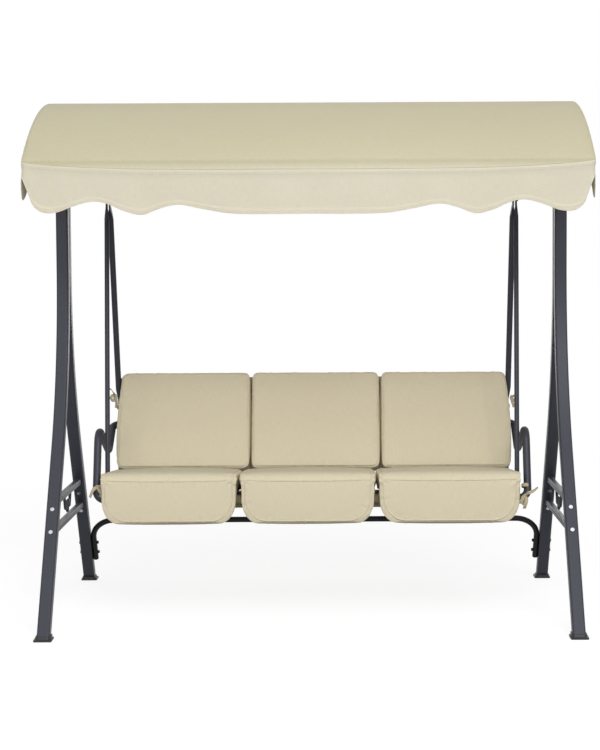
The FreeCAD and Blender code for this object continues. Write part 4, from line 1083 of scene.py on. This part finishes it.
@dataclass
class Cushion:
    """A foam pad in a sewn cloth cover, blown up by a cloth simulation that is held along its seams.

    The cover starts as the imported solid, remeshed and drawn in a little. The points along each seam stay where they
    are while the cloth between them swells, so that the seams lie in shallow valleys, with small puckers beside
    them. Each swell is limited to a cap, and to the room that the neighbours leave.
    """

    place: Place
    kind: str = ""
    voxel: float = 0.0055
    draw_in: Triple = (0.0, 0.004, 0.004)
    cap: float = 0.013
    seam_width: float = 0.0036
    inset: float = 0.013
    welt_radius: float = 0.0020
    pucker: float = 0.0011
    pucker_length: float = 0.017
    pressure: float = 4.0
    stiffness: float = 0.8
    frames: int = 20
    outer_room: float = 0.0200
    inner_room: float = 0.0040
    outer_hold: float = 0.45
    slide: float = 0.0
    low: Vector = field(default_factory=Vector)
    high: Vector = field(default_factory=Vector)

    @property
    def name(self) -> str:
        """The cushion's name, which its CAD node shares."""
        return f"{self.kind}_cushion_{self.place.word}"

    def seams(self) -> list[np.ndarray]:
        """Rough lines of the seams, each as points near the cover. A kind of cushion gives its own."""
        return []

    def limit(self, points: np.ndarray, start: np.ndarray) -> np.ndarray:
        """Keeps the swollen cover in its room. A kind of cushion adds its own limits.

        Args:
            points: The swollen vertices.
            start: The vertices before they swelled.

        Returns:
            The vertices inside the room.
        """
        left = self.low.x + (-self.outer_room if self.place is Place.LEFT else self.slide - self.inner_room)
        right = self.high.x + (self.outer_room if self.place is Place.RIGHT else self.slide + self.inner_room)
        return np.column_stack([np.clip(points[:, 0], left, right), points[:, 1:]])

    def rightward(self, points: np.ndarray) -> np.ndarray:
        """How far across the pad each point lies, from 0 at its left side to 1 at its right side."""
        return (points[:, 0] - self.low.x) / (self.high.x - self.low.x)

    def outward(self, points: np.ndarray) -> np.ndarray:
        """How far across the pad each point lies, from 0 at its inner side to 1 at its outer; 0 on a middle pad."""
        share = self.rightward(points)
        return {Place.LEFT: 1 - share, Place.MIDDLE: np.zeros_like(share), Place.RIGHT: share}[self.place]

    def shift(self, points: np.ndarray) -> np.ndarray:
        """Slides points sideways with the pad, less towards its outer side, which the frame holds.

        A left pad's outer side gives way by all but outer_hold of the slide, and a right pad's stays where it is.

        Args:
            points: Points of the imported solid, or near it.

        Returns:
            Where the points come to lie.
        """
        share = self.rightward(points)
        freedom = {Place.LEFT: 1 - self.outer_hold * (1 - share), Place.MIDDLE: np.ones_like(share),
                   Place.RIGHT: 1 - share}
        return points + (self.slide * freedom[self.place])[:, None] * np.array([1.0, 0.0, 0.0])

    def start_shape(self, node: bpy.types.Object) -> bpy.types.Object:
        """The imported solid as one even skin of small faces, drawn in a little.

        Args:
            node: The CAD node.

        Returns:
            The skin as a new object.
        """
        skin = bpy.data.objects.new(self.name + "_cover", node.data.copy())
        bpy.context.scene.collection.objects.link(skin)
        face_outwards(skin)
        remesh = skin.modifiers.new("even", "REMESH")
        remesh.mode, remesh.voxel_size = "VOXEL", self.voxel
        apply_modifiers(skin)
        set_vertices(skin, self.shift(vertices_of(skin) - np.array(self.draw_in) * vertex_normals(skin)))
        return skin

    def on_skin(self, skin: bpy.types.Object, rough: np.ndarray) -> np.ndarray:
        """The nearest points of the skin to a rough line, evenly spaced.

        Args:
            skin: The drawn-in cover.
            rough: The line's points, one per row.

        Returns:
            The line on the skin.
        """
        found = [skin.closest_point_on_mesh(Vector(point))[1] for point in even_steps(rough, 160)]
        return even_steps(np.array(found), 220)

    def swell(self, skin: bpy.types.Object, away: np.ndarray) -> np.ndarray:
        """Blows the cover up with Blender's cloth, held at its seams, and levels it off towards the cap.

        Args:
            skin: The drawn-in cover.
            away: Each vertex's distance from the nearest seam.

        Returns:
            The vertices after the swell.
        """
        start = vertices_of(skin)
        held = skin.vertex_groups.new(name="seam")
        held.add(np.flatnonzero(away < self.seam_width).tolist(), 1.0, "REPLACE")
        cloth = skin.modifiers.new("cloth", "CLOTH")
        cloth.settings.use_pressure = True
        cloth.settings.uniform_pressure_force = self.pressure
        cloth.settings.effector_weights.gravity = 0.0
        cloth.settings.vertex_group_mass = "seam"
        cloth.settings.quality = 4
        cloth.settings.bending_stiffness = self.stiffness
        cloth.collision_settings.use_collision = False
        scene = bpy.context.scene
        for frame in range(1, self.frames + 1):
            scene.frame_set(frame)
        apply_modifiers(skin)
        scene.frame_set(1)
        moved = vertices_of(skin) - start
        far = np.linalg.norm(moved, axis=1, keepdims=True)
        return start + moved / np.maximum(far, 1e-9) * self.cap * np.tanh(far / self.cap)

    def puckers(self, away: np.ndarray, along: np.ndarray, number: int) -> np.ndarray:
        """The height of the small creases that cross a seam: uneven sines along it, fading out away from it.

        Args:
            away: Each vertex's distance from the seam.
            along: Where the nearest point of the seam lies, in metres along it.
            number: Which seam it is, so that no two are alike.

        Returns:
            The height at each vertex.
        """
        turn = 2 * math.pi * along / self.pucker_length
        own = 1.7 * number + 0.9 * self.place.value
        crease = np.sin(turn + 1.3 * np.sin(0.31 * turn + own)) * (0.55 + 0.45 * np.sin(0.17 * turn + 2 * own))
        reach = np.exp(-((away - 0.008) / 0.011) ** 2)
        return self.pucker * crease * reach * (away > self.seam_width * 0.6)

    def gathers(self, points: np.ndarray) -> np.ndarray:
        """The height at each point of cloth gathered at corners. A kind of cushion gives its own."""
        return np.zeros(len(points))

    def build(self, frame: dict, finishes: Finishes) -> list[bpy.types.Object]:
        """Makes the cushion and its welts, and puts them on the swing.

        Args:
            finishes: The bench's finishes.

        Returns:
            The new pieces.
        """
        self.low, self.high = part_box(self.name)
        skin = self.start_shape(frame["nodes"][self.name])
        start = vertices_of(skin)
        lines = [self.on_skin(skin, self.shift(seam)) for seam in self.seams()]
        gaps = [np.linalg.norm(start[:, None] - line[None, ::2], axis=2) for line in lines]
        away = np.min([gap.min(axis=1) for gap in gaps], axis=0)
        blown = self.limit(self.swell(skin, away), start)
        set_vertices(skin, blown)
        normals = vertex_normals(skin)
        height = self.gathers(blown)
        for number, (gap, line) in enumerate(zip(gaps, lines)):
            along = gap.argmin(axis=1) * 2 * path_length(line) / len(line)
            height += self.puckers(gap.min(axis=1), along, number)
        set_vertices(skin, self.limit(blown + normals * height[:, None], start))
        box_uv(skin)
        finer = skin.modifiers.new("finer", "SUBSURF")
        finer.levels = finer.render_levels = 1
        welts = cords(self.name + "_welts", lines, self.welt_radius)
        for piece in (skin, welts):
            finishes.dress(piece, "cushion_fabric")
            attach(piece, Body.SWING.value)
        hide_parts(self.name)
        return [skin, welts]


@dataclass
class SeatCushion(Cushion):
    """A seat pad whose front rolls down over the front rail, with a seam round its front panel and its top."""

    kind: str = "seat"
    draw_in: Triple = (-0.0026, 0.004, 0.004)
    hanger_room: float = 0.0035
    slide: float = -0.0125
    fold_drop: float = 0.022
    corner: float = 0.072
    hanger_y: float = -0.190
    front_drop: float = 0.007
    flare: float = 0.011
    waist: float = 0.0042
    pleat: float = 0.0026

    def seams(self) -> list[np.ndarray]:
        """The seams' rough lines.

        Returns:
            The side seams, joined below the front panel by a rounded turn, and the seam across the front fold.
        """
        left, right = self.low.x + self.inset, self.high.x - self.inset
        front, bottom = self.low.y, self.low.z + self.inset
        rear_top = Vector((0.0, self.high.y - 0.01, self.high.z - 0.024))
        turn = np.linspace(0, math.pi / 2, 9)
        quarter = self.corner * np.stack([1 - np.cos(turn), np.sin(turn)], axis=1)
        down = [(left, rear_top.y, rear_top.z), (left, front + 0.03, self.high.z + 0.002),
                (left, front + 0.006, self.high.z - 0.010), (left, front - 0.002, self.high.z - 0.04),
                (left, front - 0.002, bottom + self.corner + 0.01)]
        bend = [(left + a, front - 0.002, bottom + self.corner - b) for a, b in quarter]
        half = np.array(down + bend + [((left + right) / 2, front - 0.002, bottom)])
        other = half[::-1] * np.array([-1.0, 1.0, 1.0]) + np.array([left + right, 0.0, 0.0])
        fold = self.high.z - self.fold_drop
        share = np.linspace(0, 1, 9)
        across = np.stack([left + (right - left) * share, np.full(9, front - 0.004),
                           fold + 0.004 * np.abs(2 * share - 1) ** 3], axis=1)
        return [np.vstack([half, other[1:]]), across]

    def gathers(self, points: np.ndarray) -> np.ndarray:
        """Pleats that fan out from the two upper front corners, a sine of the angle, and die away in a bell curve.

        Args:
            points: The swollen vertices.

        Returns:
            The height at each vertex.
        """
        height = np.zeros(len(points))
        for side in (-1, 1):
            x, y, z = self.shift(np.array([[(self.low.x if side < 0 else self.high.x) - side * 0.006,
                                            self.low.y, self.high.z - self.fold_drop]]))[0]
            inward, down = side * (x - points[:, 0]), z - points[:, 2]
            away = np.sqrt(inward**2 + (points[:, 1] - y) ** 2 + down**2)
            fan = np.sin(8.5 * np.arctan2(down, np.abs(inward) + 0.004) + 0.8 * side + self.place.value)
            height += self.pleat * fan * np.exp(-((away - 0.012) / 0.017) ** 2)
        return height

    def shift(self, points: np.ndarray) -> np.ndarray:
        """Slides the points as every cushion does, and shapes the front roll.

        The roll's underside hangs lower, its lower corners are round, its sides pull in below the top seam, and the
        outer side stands out in front of the hanger.

        Args:
            points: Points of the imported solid, or near it.

        Returns:
            Where the points come to lie.
        """
        moved = super().shift(points)
        in_front = 1 - smooth_step(self.low.y + 0.06, self.low.y + 0.12, points[:, 1])
        low_down = 1 - smooth_step(self.low.z + 0.01, self.low.z + 0.09, points[:, 2])
        moved[:, 2] -= self.front_drop * low_down * in_front
        free = 1 - smooth_step(self.hanger_y - 0.03, self.hanger_y, points[:, 1])
        moved[:, 0] += self.place.value * self.flare * free * smooth_step(0.4, 1.0, self.outward(points))
        middle, half = (self.low.x + self.high.x) / 2, (self.high.x - self.low.x) / 2
        across = (points[:, 0] - middle) / half
        under_seam = 1 - smooth_step(self.high.z - 0.045, self.high.z - 0.015, points[:, 2])
        moved[:, 0] -= self.waist * across ** 3 * under_seam * in_front
        past_x = np.maximum(np.abs(points[:, 0] - middle) - (half - self.corner), 0.0)
        past_z = np.maximum(self.low.z + self.corner - points[:, 2], 0.0)
        shrink = round_off(past_x, past_z, self.corner)
        moved[:, 0] -= np.sign(across) * past_x * (1 - shrink) * in_front
        moved[:, 2] += past_z * (1 - shrink) * in_front
        return moved

    def limit(self, points: np.ndarray, start: np.ndarray) -> np.ndarray:
        """Leaves room for the hangers beside the seat, and for the sling and the back cushion.

        Args:
            points: The swollen vertices.
            start: The vertices before they swelled.

        Returns:
            The vertices inside the room.
        """
        points = super().limit(points, start)
        side = self.place.value
        if side:
            outer = (self.high.x if side > 0 else -self.low.x) + self.hanger_room
            in_front = 1 - smooth_step(self.hanger_y - 0.02, self.hanger_y, points[:, 1])
            room = outer + (self.outer_room - self.hanger_room) * in_front
            points[:, 0] = np.minimum(points[:, 0] * side, room) * side
        below = start[:, 2] - 0.0005
        flat = (start[:, 1] > self.low.y + 0.085) & (start[:, 2] < self.high.z - 0.05)
        points[flat, 2] = np.maximum(points[flat, 2], below[flat])
        behind = start[:, 1] > self.high.y - 0.02
        points[behind, 1] = np.minimum(points[behind, 1], start[behind, 1] + 0.004)
        return points


@dataclass
class BackCushion(Cushion):
    """A back pad that leans on the back sling, with a seam round its front and its rear panel."""

    kind: str = "back"
    draw_in: Triple = (-0.0032, 0.004, 0.004)
    slide: float = 0.0080
    inset: float = 0.0050
    bulge: float = 0.0150
    corner: float = 0.022
    recline: float = math.radians(22.0)
    depth: float = 0.070

    def planes(self) -> tuple[np.ndarray, np.ndarray, np.ndarray, float, float]:
        """The leaning pad's own directions and sizes.

        Returns:
            Its directions up and out, its middle, and half its width and height.
        """
        up = np.array([0.0, math.sin(self.recline), math.cos(self.recline)])
        out = np.array([0.0, -math.cos(self.recline), math.sin(self.recline)])
        drop = self.depth * math.sin(self.recline)
        return (up, out, np.array((self.low + self.high) / 2), (self.high.x - self.low.x) / 2,
                (self.high.z - self.low.z - drop) / 2 / math.cos(self.recline))

    def seams(self) -> list[np.ndarray]:
        """The seams' rough lines.

        Returns:
            Two rounded rectangles, round the front panel and round the rear one.
        """
        up, out, middle, half_x, half_up = self.planes()
        half_x, half_up = half_x - self.inset, half_up - self.inset
        turn = np.linspace(0, 2 * math.pi, 49)
        cx, cz = np.cos(turn), np.sin(turn)
        x = np.sign(cx) * (half_x - self.corner) + self.corner * cx
        z = np.sign(cz) * (half_up - self.corner) + self.corner * cz
        flat = middle + x[:, None] * np.array([1.0, 0.0, 0.0]) + z[:, None] * up
        return [flat + out * side * (self.depth / 2 + 0.004) for side in (1, -1)]

    def shift(self, points: np.ndarray) -> np.ndarray:
        """Slides the points as every cushion does, rounds the corners, and bulges the outer side.

        The bulge follows a sine from the top of the pad to its foot, and leaves out the rear edge, which lies beside
        the frame's tube.

        Args:
            points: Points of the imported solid, or near it.

        Returns:
            Where the points come to lie.
        """
        moved = super().shift(points)
        up, out, middle, half_x, half_up = self.planes()
        height = (points - middle) @ up
        clear = smooth_step(-self.depth / 2 + 0.010, -self.depth / 2 + 0.030, (points - middle) @ out)
        swing = np.sin(0.8 * math.pi * np.clip(0.5 - height / (2 * half_up), 0.0, 1.0))
        moved[:, 0] += self.place.value * self.bulge * swing * clear * smooth_step(0.4, 1.0, self.outward(points))
        side = points[:, 0] - middle[0]
        past_x = np.maximum(np.abs(side) - (half_x - self.corner), 0.0)
        past_up = np.maximum(np.abs(height) - (half_up - self.corner), 0.0)
        shrink = round_off(past_x, past_up, self.corner) - 1.0
        moved[:, 0] += np.sign(side) * past_x * shrink
        return moved + (np.sign(height) * past_up * shrink)[:, None] * up

    def limit(self, points: np.ndarray, start: np.ndarray) -> np.ndarray:
        """Leaves room for the back sling behind the pad.

        Args:
            points: The swollen vertices.
            start: The vertices before they swelled.

        Returns:
            The vertices inside the room.
        """
        points = super().limit(points, start)
        out = self.planes()[1]
        level, first = points @ out, start @ out
        sunk = np.minimum(level - (first.min() - 0.002), 0.0)
        return points - sunk[:, None] * out


# ---- ties ---------------------------------------------------------------------------------------------------------


@dataclass(frozen=True)
class Strand:
    """A run of tape: the points that its middle passes through, and which way its width points at each end."""

    points: np.ndarray | tuple[Triple, ...]
    first: Triple
    last: Triple


@dataclass(frozen=True)
class Tube:
    """A tube that a tie goes round: a point of its middle, its direction, and the radius of the turn of tape."""

    middle: Triple
    lean: Triple
    radius: float


@dataclass
class Tie:
    """A tape sewn to a cushion and knotted round a tube: a wrap, a knot, loops and loose tails.

    Each strand is a flat tape along a smooth path. The tape's width leans from one given direction to another
    along the strand, so that it can twist. Places are given for the right side, and mirror -1 puts the tie on the
    left one.
    """

    name: str
    strands: tuple[Strand, ...]
    knot: Triple
    tube: Tube
    width: float = 0.012
    thickness: float = 0.0014
    cupped: float = 0.0012
    mirror: int = 1

    def tape(self, strand: Strand) -> tuple[np.ndarray, np.ndarray]:
        """One tape: at each step along the path, a short row of points across its width, a little cupped.

        The tape is narrower where it leaves the knot, and widens as a bell curve falls off.

        Args:
            strand: The run of the tape.

        Returns:
            The vertices as steps by 5, and the UV pairs.
        """
        path = through_points(np.array(strand.points), 40)
        along = unit(np.gradient(path, axis=0))
        share = np.linspace(0, 1, len(path))[:, None]
        wide = (1 - share) * np.array(strand.first) + share * np.array(strand.last)
        wide = unit(wide - along * (wide * along).sum(axis=1, keepdims=True))
        normal = np.cross(along, wide)
        across = np.linspace(-1, 1, 5)
        pinch = 1 - 0.45 * np.exp(-((share[:, 0] / 0.06) ** 2))
        half = self.width / 2 * pinch
        points = (path[:, None] + wide[:, None] * (half[:, None] * across)[..., None]
                  + normal[:, None] * (self.cupped * across**2)[None, :, None])
        distance = share[:, 0] * path_length(path)
        uv = np.stack(np.broadcast_arrays(distance[:, None], across[None, :] * self.width / 2), axis=-1)
        return points, uv

    def knot_strands(self) -> list[Strand]:
        """The two crossed turns of tape that make the knot, each a short tight ellipse.

        Returns:
            The two turns.
        """
        turn, size = np.linspace(0, 2 * math.pi, 9), self.width * 0.42
        ellipses = (((1.0, 0.75, 0.15), (0.2, 0.1, 1.0)), ((0.35, 0.7, 0.95), (1.0, 0.1, -0.2)))
        circle = np.stack([np.cos(turn), np.sin(turn), np.cos(turn)], axis=1)
        return [Strand(np.array(self.knot) + size * (np.array(shares) * circle), wide, wide)
                for shares, wide in ellipses]

    def wrap_strand(self) -> Strand:
        """The turn of tape round the tube, a circle square to the tube with a short gap.

        Returns:
            The turn.
        """
        tube, turn = self.tube, np.linspace(-0.5, 2 * math.pi - 0.2, 17)
        across = unit(np.cross(np.array(tube.lean), np.array([0.0, 1.0, 0.0])))
        out = np.cross(across, unit(np.array(tube.lean)))
        ring = np.array(tube.middle) + tube.radius * (np.cos(turn)[:, None] * across + np.sin(turn)[:, None] * out)
        return Strand(ring, tube.lean, tube.lean)

    def build(self, finishes: Finishes) -> bpy.types.Object:
        """Makes the tie and puts it on the swing.

        Args:
            finishes: The bench's finishes.

        Returns:
            The tie.
        """
        tapes = [self.tape(strand) for strand in (*self.strands, *self.knot_strands(), self.wrap_strand())]
        side = np.array([self.mirror, 1.0, 1.0])
        tie = grids_object(self.name, [(points * side, uv) for points, uv in tapes])
        thicken(tie, self.thickness)
        finishes.dress(tie, "cushion_fabric", "tie_fabric")
        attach(tie, Body.SWING.value)
        return tie


def make_ties() -> list[Tie]:
    """The ties at the seat's front corners and at the back's outer edges, with two or three strands each.

    Returns:
        The four ties, the seat's first.
    """
    hanger = Tube((0.6935, -0.214, 0.430), (0.0, 0.32, 0.95), 0.0140)
    upright = Tube((0.656, 0.2345, 0.694), (0.0, 0.375, 0.927), 0.0145)
    upright_lower = Tube((0.656, 0.2305, 0.684), upright.lean, upright.radius)
    seat_right = Tie("seat_tie_right", (
        Strand(((0.690, -0.236, 0.402), (0.700, -0.246, 0.410), (0.714, -0.250, 0.416), (0.730, -0.252, 0.428)),
               (0.2, 0.4, 1.0), (0.4, 0.8, 0.6)),
        Strand(((0.688, -0.236, 0.400), (0.680, -0.247, 0.392), (0.674, -0.250, 0.380), (0.680, -0.244, 0.376),
                (0.688, -0.238, 0.392)), (0.9, 0.1, -0.5), (0.9, 0.2, -0.5)),
        Strand(((0.692, -0.237, 0.398), (0.692, -0.248, 0.386), (0.688, -0.252, 0.372), (0.684, -0.250, 0.360)),
               (1.0, 0.3, 0.1), (0.9, 0.5, 0.2)),
    ), (0.690, -0.235, 0.400), hanger)
    seat_left = Tie("seat_tie_left", (
        Strand(((0.697, -0.234, 0.434), (0.706, -0.244, 0.426), (0.712, -0.248, 0.412), (0.716, -0.248, 0.402)),
               (0.3, 0.5, 0.8), (0.6, 0.7, 0.2)),
        Strand(((0.694, -0.234, 0.430), (0.686, -0.243, 0.424), (0.680, -0.244, 0.412), (0.684, -0.238, 0.402)),
               (0.9, 0.2, 0.3), (0.9, 0.4, 0.1)),
    ), (0.694, -0.233, 0.432), hanger, mirror=-1)
    back_left = Tie("back_tie_left", (
        Strand(((0.684, 0.206, 0.700), (0.690, 0.198, 0.708), (0.695, 0.194, 0.718), (0.702, 0.192, 0.722)),
               (0.1, 0.5, 0.8), (0.5, 0.7, 0.4)),
        Strand(((0.684, 0.206, 0.698), (0.693, 0.196, 0.698), (0.696, 0.193, 0.686), (0.688, 0.198, 0.682),
                (0.683, 0.205, 0.694)), (0.4, 0.4, 0.9), (0.5, 0.2, 0.8)),
        Strand(((0.683, 0.206, 0.696), (0.680, 0.199, 0.684), (0.678, 0.198, 0.670), (0.680, 0.200, 0.656)),
               (0.9, 0.3, 0.1), (0.9, 0.4, 0.2)),
    ), (0.684, 0.207, 0.697), upright, width=0.010, mirror=-1)
    back_right = Tie("back_tie_right", (
        Strand(((0.684, 0.206, 0.688), (0.694, 0.198, 0.690), (0.702, 0.195, 0.682), (0.698, 0.197, 0.672),
                (0.688, 0.203, 0.680)), (0.3, 0.3, 0.9), (0.4, 0.4, 0.8)),
        Strand(((0.683, 0.206, 0.686), (0.684, 0.198, 0.676), (0.688, 0.196, 0.662), (0.691, 0.197, 0.652)),
               (0.9, 0.3, 0.2), (0.8, 0.5, 0.2)),
    ), (0.684, 0.207, 0.687), upright_lower, width=0.010)
    return [seat_right, seat_left, back_left, back_right]


# ---- studio -------------------------------------------------------------------------------------------------------


@dataclass(frozen=True)
class Lamp:
    """A soft rectangular lamp aimed at a point."""

    name: str
    place: Triple
    aim: Triple
    size: tuple[float, float]
    power: float

    def build(self) -> None:
        """Makes the lamp and turns it to its aim."""
        data = bpy.data.lights.new(self.name, "AREA")
        data.shape, data.size, data.size_y, data.energy = "RECTANGLE", self.size[0], self.size[1], self.power
        lamp = bpy.data.objects.new(self.name, data)
        bpy.context.scene.collection.objects.link(lamp)
        lamp.location = self.place
        lamp.rotation_euler = (Vector(self.aim) - Vector(self.place)).to_track_quat("-Z", "Y").to_euler()


@dataclass
class Studio:
    """The floor, the soft light and the camera."""

    lens: float = 93.67
    sensor: float = 36.0
    camera_place: Triple = (0.0947, -6.5088, 1.1997)
    pitch_down: float = 0.0646
    roll: float = -0.0049
    shift_x: float = -0.0543
    floor_half: float = 40.0
    floor_colour: Colour = (0.30, 0.30, 0.30)
    floor_glow: float = 0.80
    fade_start: float = 2.2
    fade_end: float = 5.0
    sky_light: float = 0.46
    lamps: tuple[Lamp, ...] = (
        Lamp("key", (1.3, -6.2, 4.6), (0.0, 0.0, 0.9), (3.6, 2.6), 235.0),
        Lamp("top", (0.0, -3.6, 5.4), (0.0, -0.3, 0.5), (3.6, 1.6), 45.0),
        Lamp("front", (-1.2, -7.0, 1.6), (0.0, 0.0, 0.7), (5.0, 2.2), 120.0),
        Lamp("rear", (0.8, 6.0, 1.3), (0.0, 0.0, 1.2), (5.0, 2.0), 55.0),
    )

    def camera(self) -> None:
        """Makes the camera: level but for a small pitch and roll, its frame shifted sideways."""
        data = bpy.data.cameras.new("camera")
        data.lens, data.sensor_width, data.shift_x = self.lens, self.sensor, self.shift_x
        camera = bpy.data.objects.new("camera", data)
        bpy.context.scene.collection.objects.link(camera)
        turn = Matrix.Rotation(math.pi / 2 - self.pitch_down, 3, "X") @ Matrix.Rotation(self.roll, 3, "Z")
        camera.location, camera.rotation_euler = self.camera_place, turn.to_euler()
        bpy.context.scene.camera = camera

    def floor(self) -> bpy.types.Object:
        """Makes a pale floor that keeps the shadow near the bench and fades to plain white further off.

        To the eye it is a matt grey with a glow, which mixes into white between the two fade distances. To the
        bench it is the matt grey alone.

        Returns:
            The floor, a single face.
        """
        corners = self.floor_half * np.array([[-1.0, -1, 0], [1, -1, 0], [1, 1, 0], [-1, 1, 0]])
        floor = mesh_object("studio_floor", corners, np.array([[0, 1, 2, 3]]))
        nodes = Nodes("studio_floor")
        length = nodes.add("ShaderNodeVectorMath", operation="LENGTH")
        nodes.link(nodes.add("ShaderNodeTexCoord").outputs["Object"], length.inputs[0])
        far = nodes.add("ShaderNodeMapRange", interpolation_type="SMOOTHSTEP")
        nodes.link(length.outputs["Value"], far.inputs["Value"])
        far.inputs["From Min"].default_value, far.inputs["From Max"].default_value = self.fade_start, self.fade_end
        seen = seen_by_eye(nodes.tree)
        matt = nodes.add("ShaderNodeBsdfDiffuse")
        matt.inputs["Color"].default_value = (*self.floor_colour, 1.0)
        glow, white = nodes.add("ShaderNodeEmission"), nodes.add("ShaderNodeEmission")
        nodes.link(nodes.math("MULTIPLY", seen, self.floor_glow), glow.inputs["Strength"])
        both, mix = nodes.add("ShaderNodeAddShader"), nodes.add("ShaderNodeMixShader")
        nodes.link(matt.outputs[0], both.inputs[0])
        nodes.link(glow.outputs[0], both.inputs[1])
        nodes.link(nodes.math("MULTIPLY", seen, far.outputs["Result"]), mix.inputs[0])
        nodes.link(both.outputs[0], mix.inputs[1])
        nodes.link(white.outputs[0], mix.inputs[2])
        nodes.link(mix.outputs[0], nodes.output.inputs["Surface"])
        nodes.tree.nodes.remove(nodes.shader)
        floor.data.materials.append(nodes.material)
        return floor

    def sky(self) -> None:
        """Lights the bench evenly from all round, and shows plain white to the camera and in reflections."""
        world = bpy.data.worlds.new("studio")
        bpy.context.scene.world = world
        world.use_nodes = True
        tree = world.node_tree
        tree.nodes.clear()
        light, shown = tree.nodes.new("ShaderNodeBackground"), tree.nodes.new("ShaderNodeBackground")
        light.inputs["Strength"].default_value, shown.inputs["Strength"].default_value = self.sky_light, 1.0
        light.inputs["Color"].default_value = shown.inputs["Color"].default_value = (*WHITE, 1.0)
        mix, output = tree.nodes.new("ShaderNodeMixShader"), tree.nodes.new("ShaderNodeOutputWorld")
        tree.links.new(seen_by_eye(tree), mix.inputs[0])
        tree.links.new(light.outputs[0], mix.inputs[1])
        tree.links.new(shown.outputs[0], mix.inputs[2])
        tree.links.new(mix.outputs[0], output.inputs["Surface"])

    def build(self) -> None:
        """Makes the floor, the light and the camera, and sets the plain view transform."""
        bpy.context.scene.view_settings.view_transform = "Standard"
        self.camera()
        self.floor()
        self.sky()
        for lamp in self.lamps:
            lamp.build()


# ---- the whole bench ----------------------------------------------------------------------------------------------


@dataclass
class Bench:
    """The dressed bench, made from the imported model's frame."""

    frame: dict
    finishes: Finishes = field(default_factory=Finishes)

    def slings(self) -> list[Sling]:
        """The seat sling, with a skirt below its front rail, and the back sling."""
        return [Sling("seat_sling_cloth", "seat_sling", ("seat_front_rail", "seat_rear_rail"), skirt=0.024),
                Sling("back_sling_cloth", "back_sling", ("back_lower_rail", "back_top_rail"))]

    def build(self) -> None:
        """Dresses the frame and makes every soft piece, in order."""
        self.finishes.dress_frame(self.frame)
        pieces = CanopyCover().build(self.finishes)
        pieces += [sling.build(self.finishes) for sling in self.slings()]
        for cushion in [kind(place) for kind in (SeatCushion, BackCushion) for place in Place]:
            pieces += cushion.build(self.frame, self.finishes)
        pieces += [tie.build(self.finishes) for tie in make_ties()]
        for piece in pieces:
            log.info("made %s", piece.name)


def main() -> None:
    """Loads the frame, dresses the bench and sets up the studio."""
    logging.basicConfig(level=logging.INFO, format="%(name)s: %(message)s")
    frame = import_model()
    Bench(frame).build()
    Studio().build()


if __name__ == "__main__":
    main()
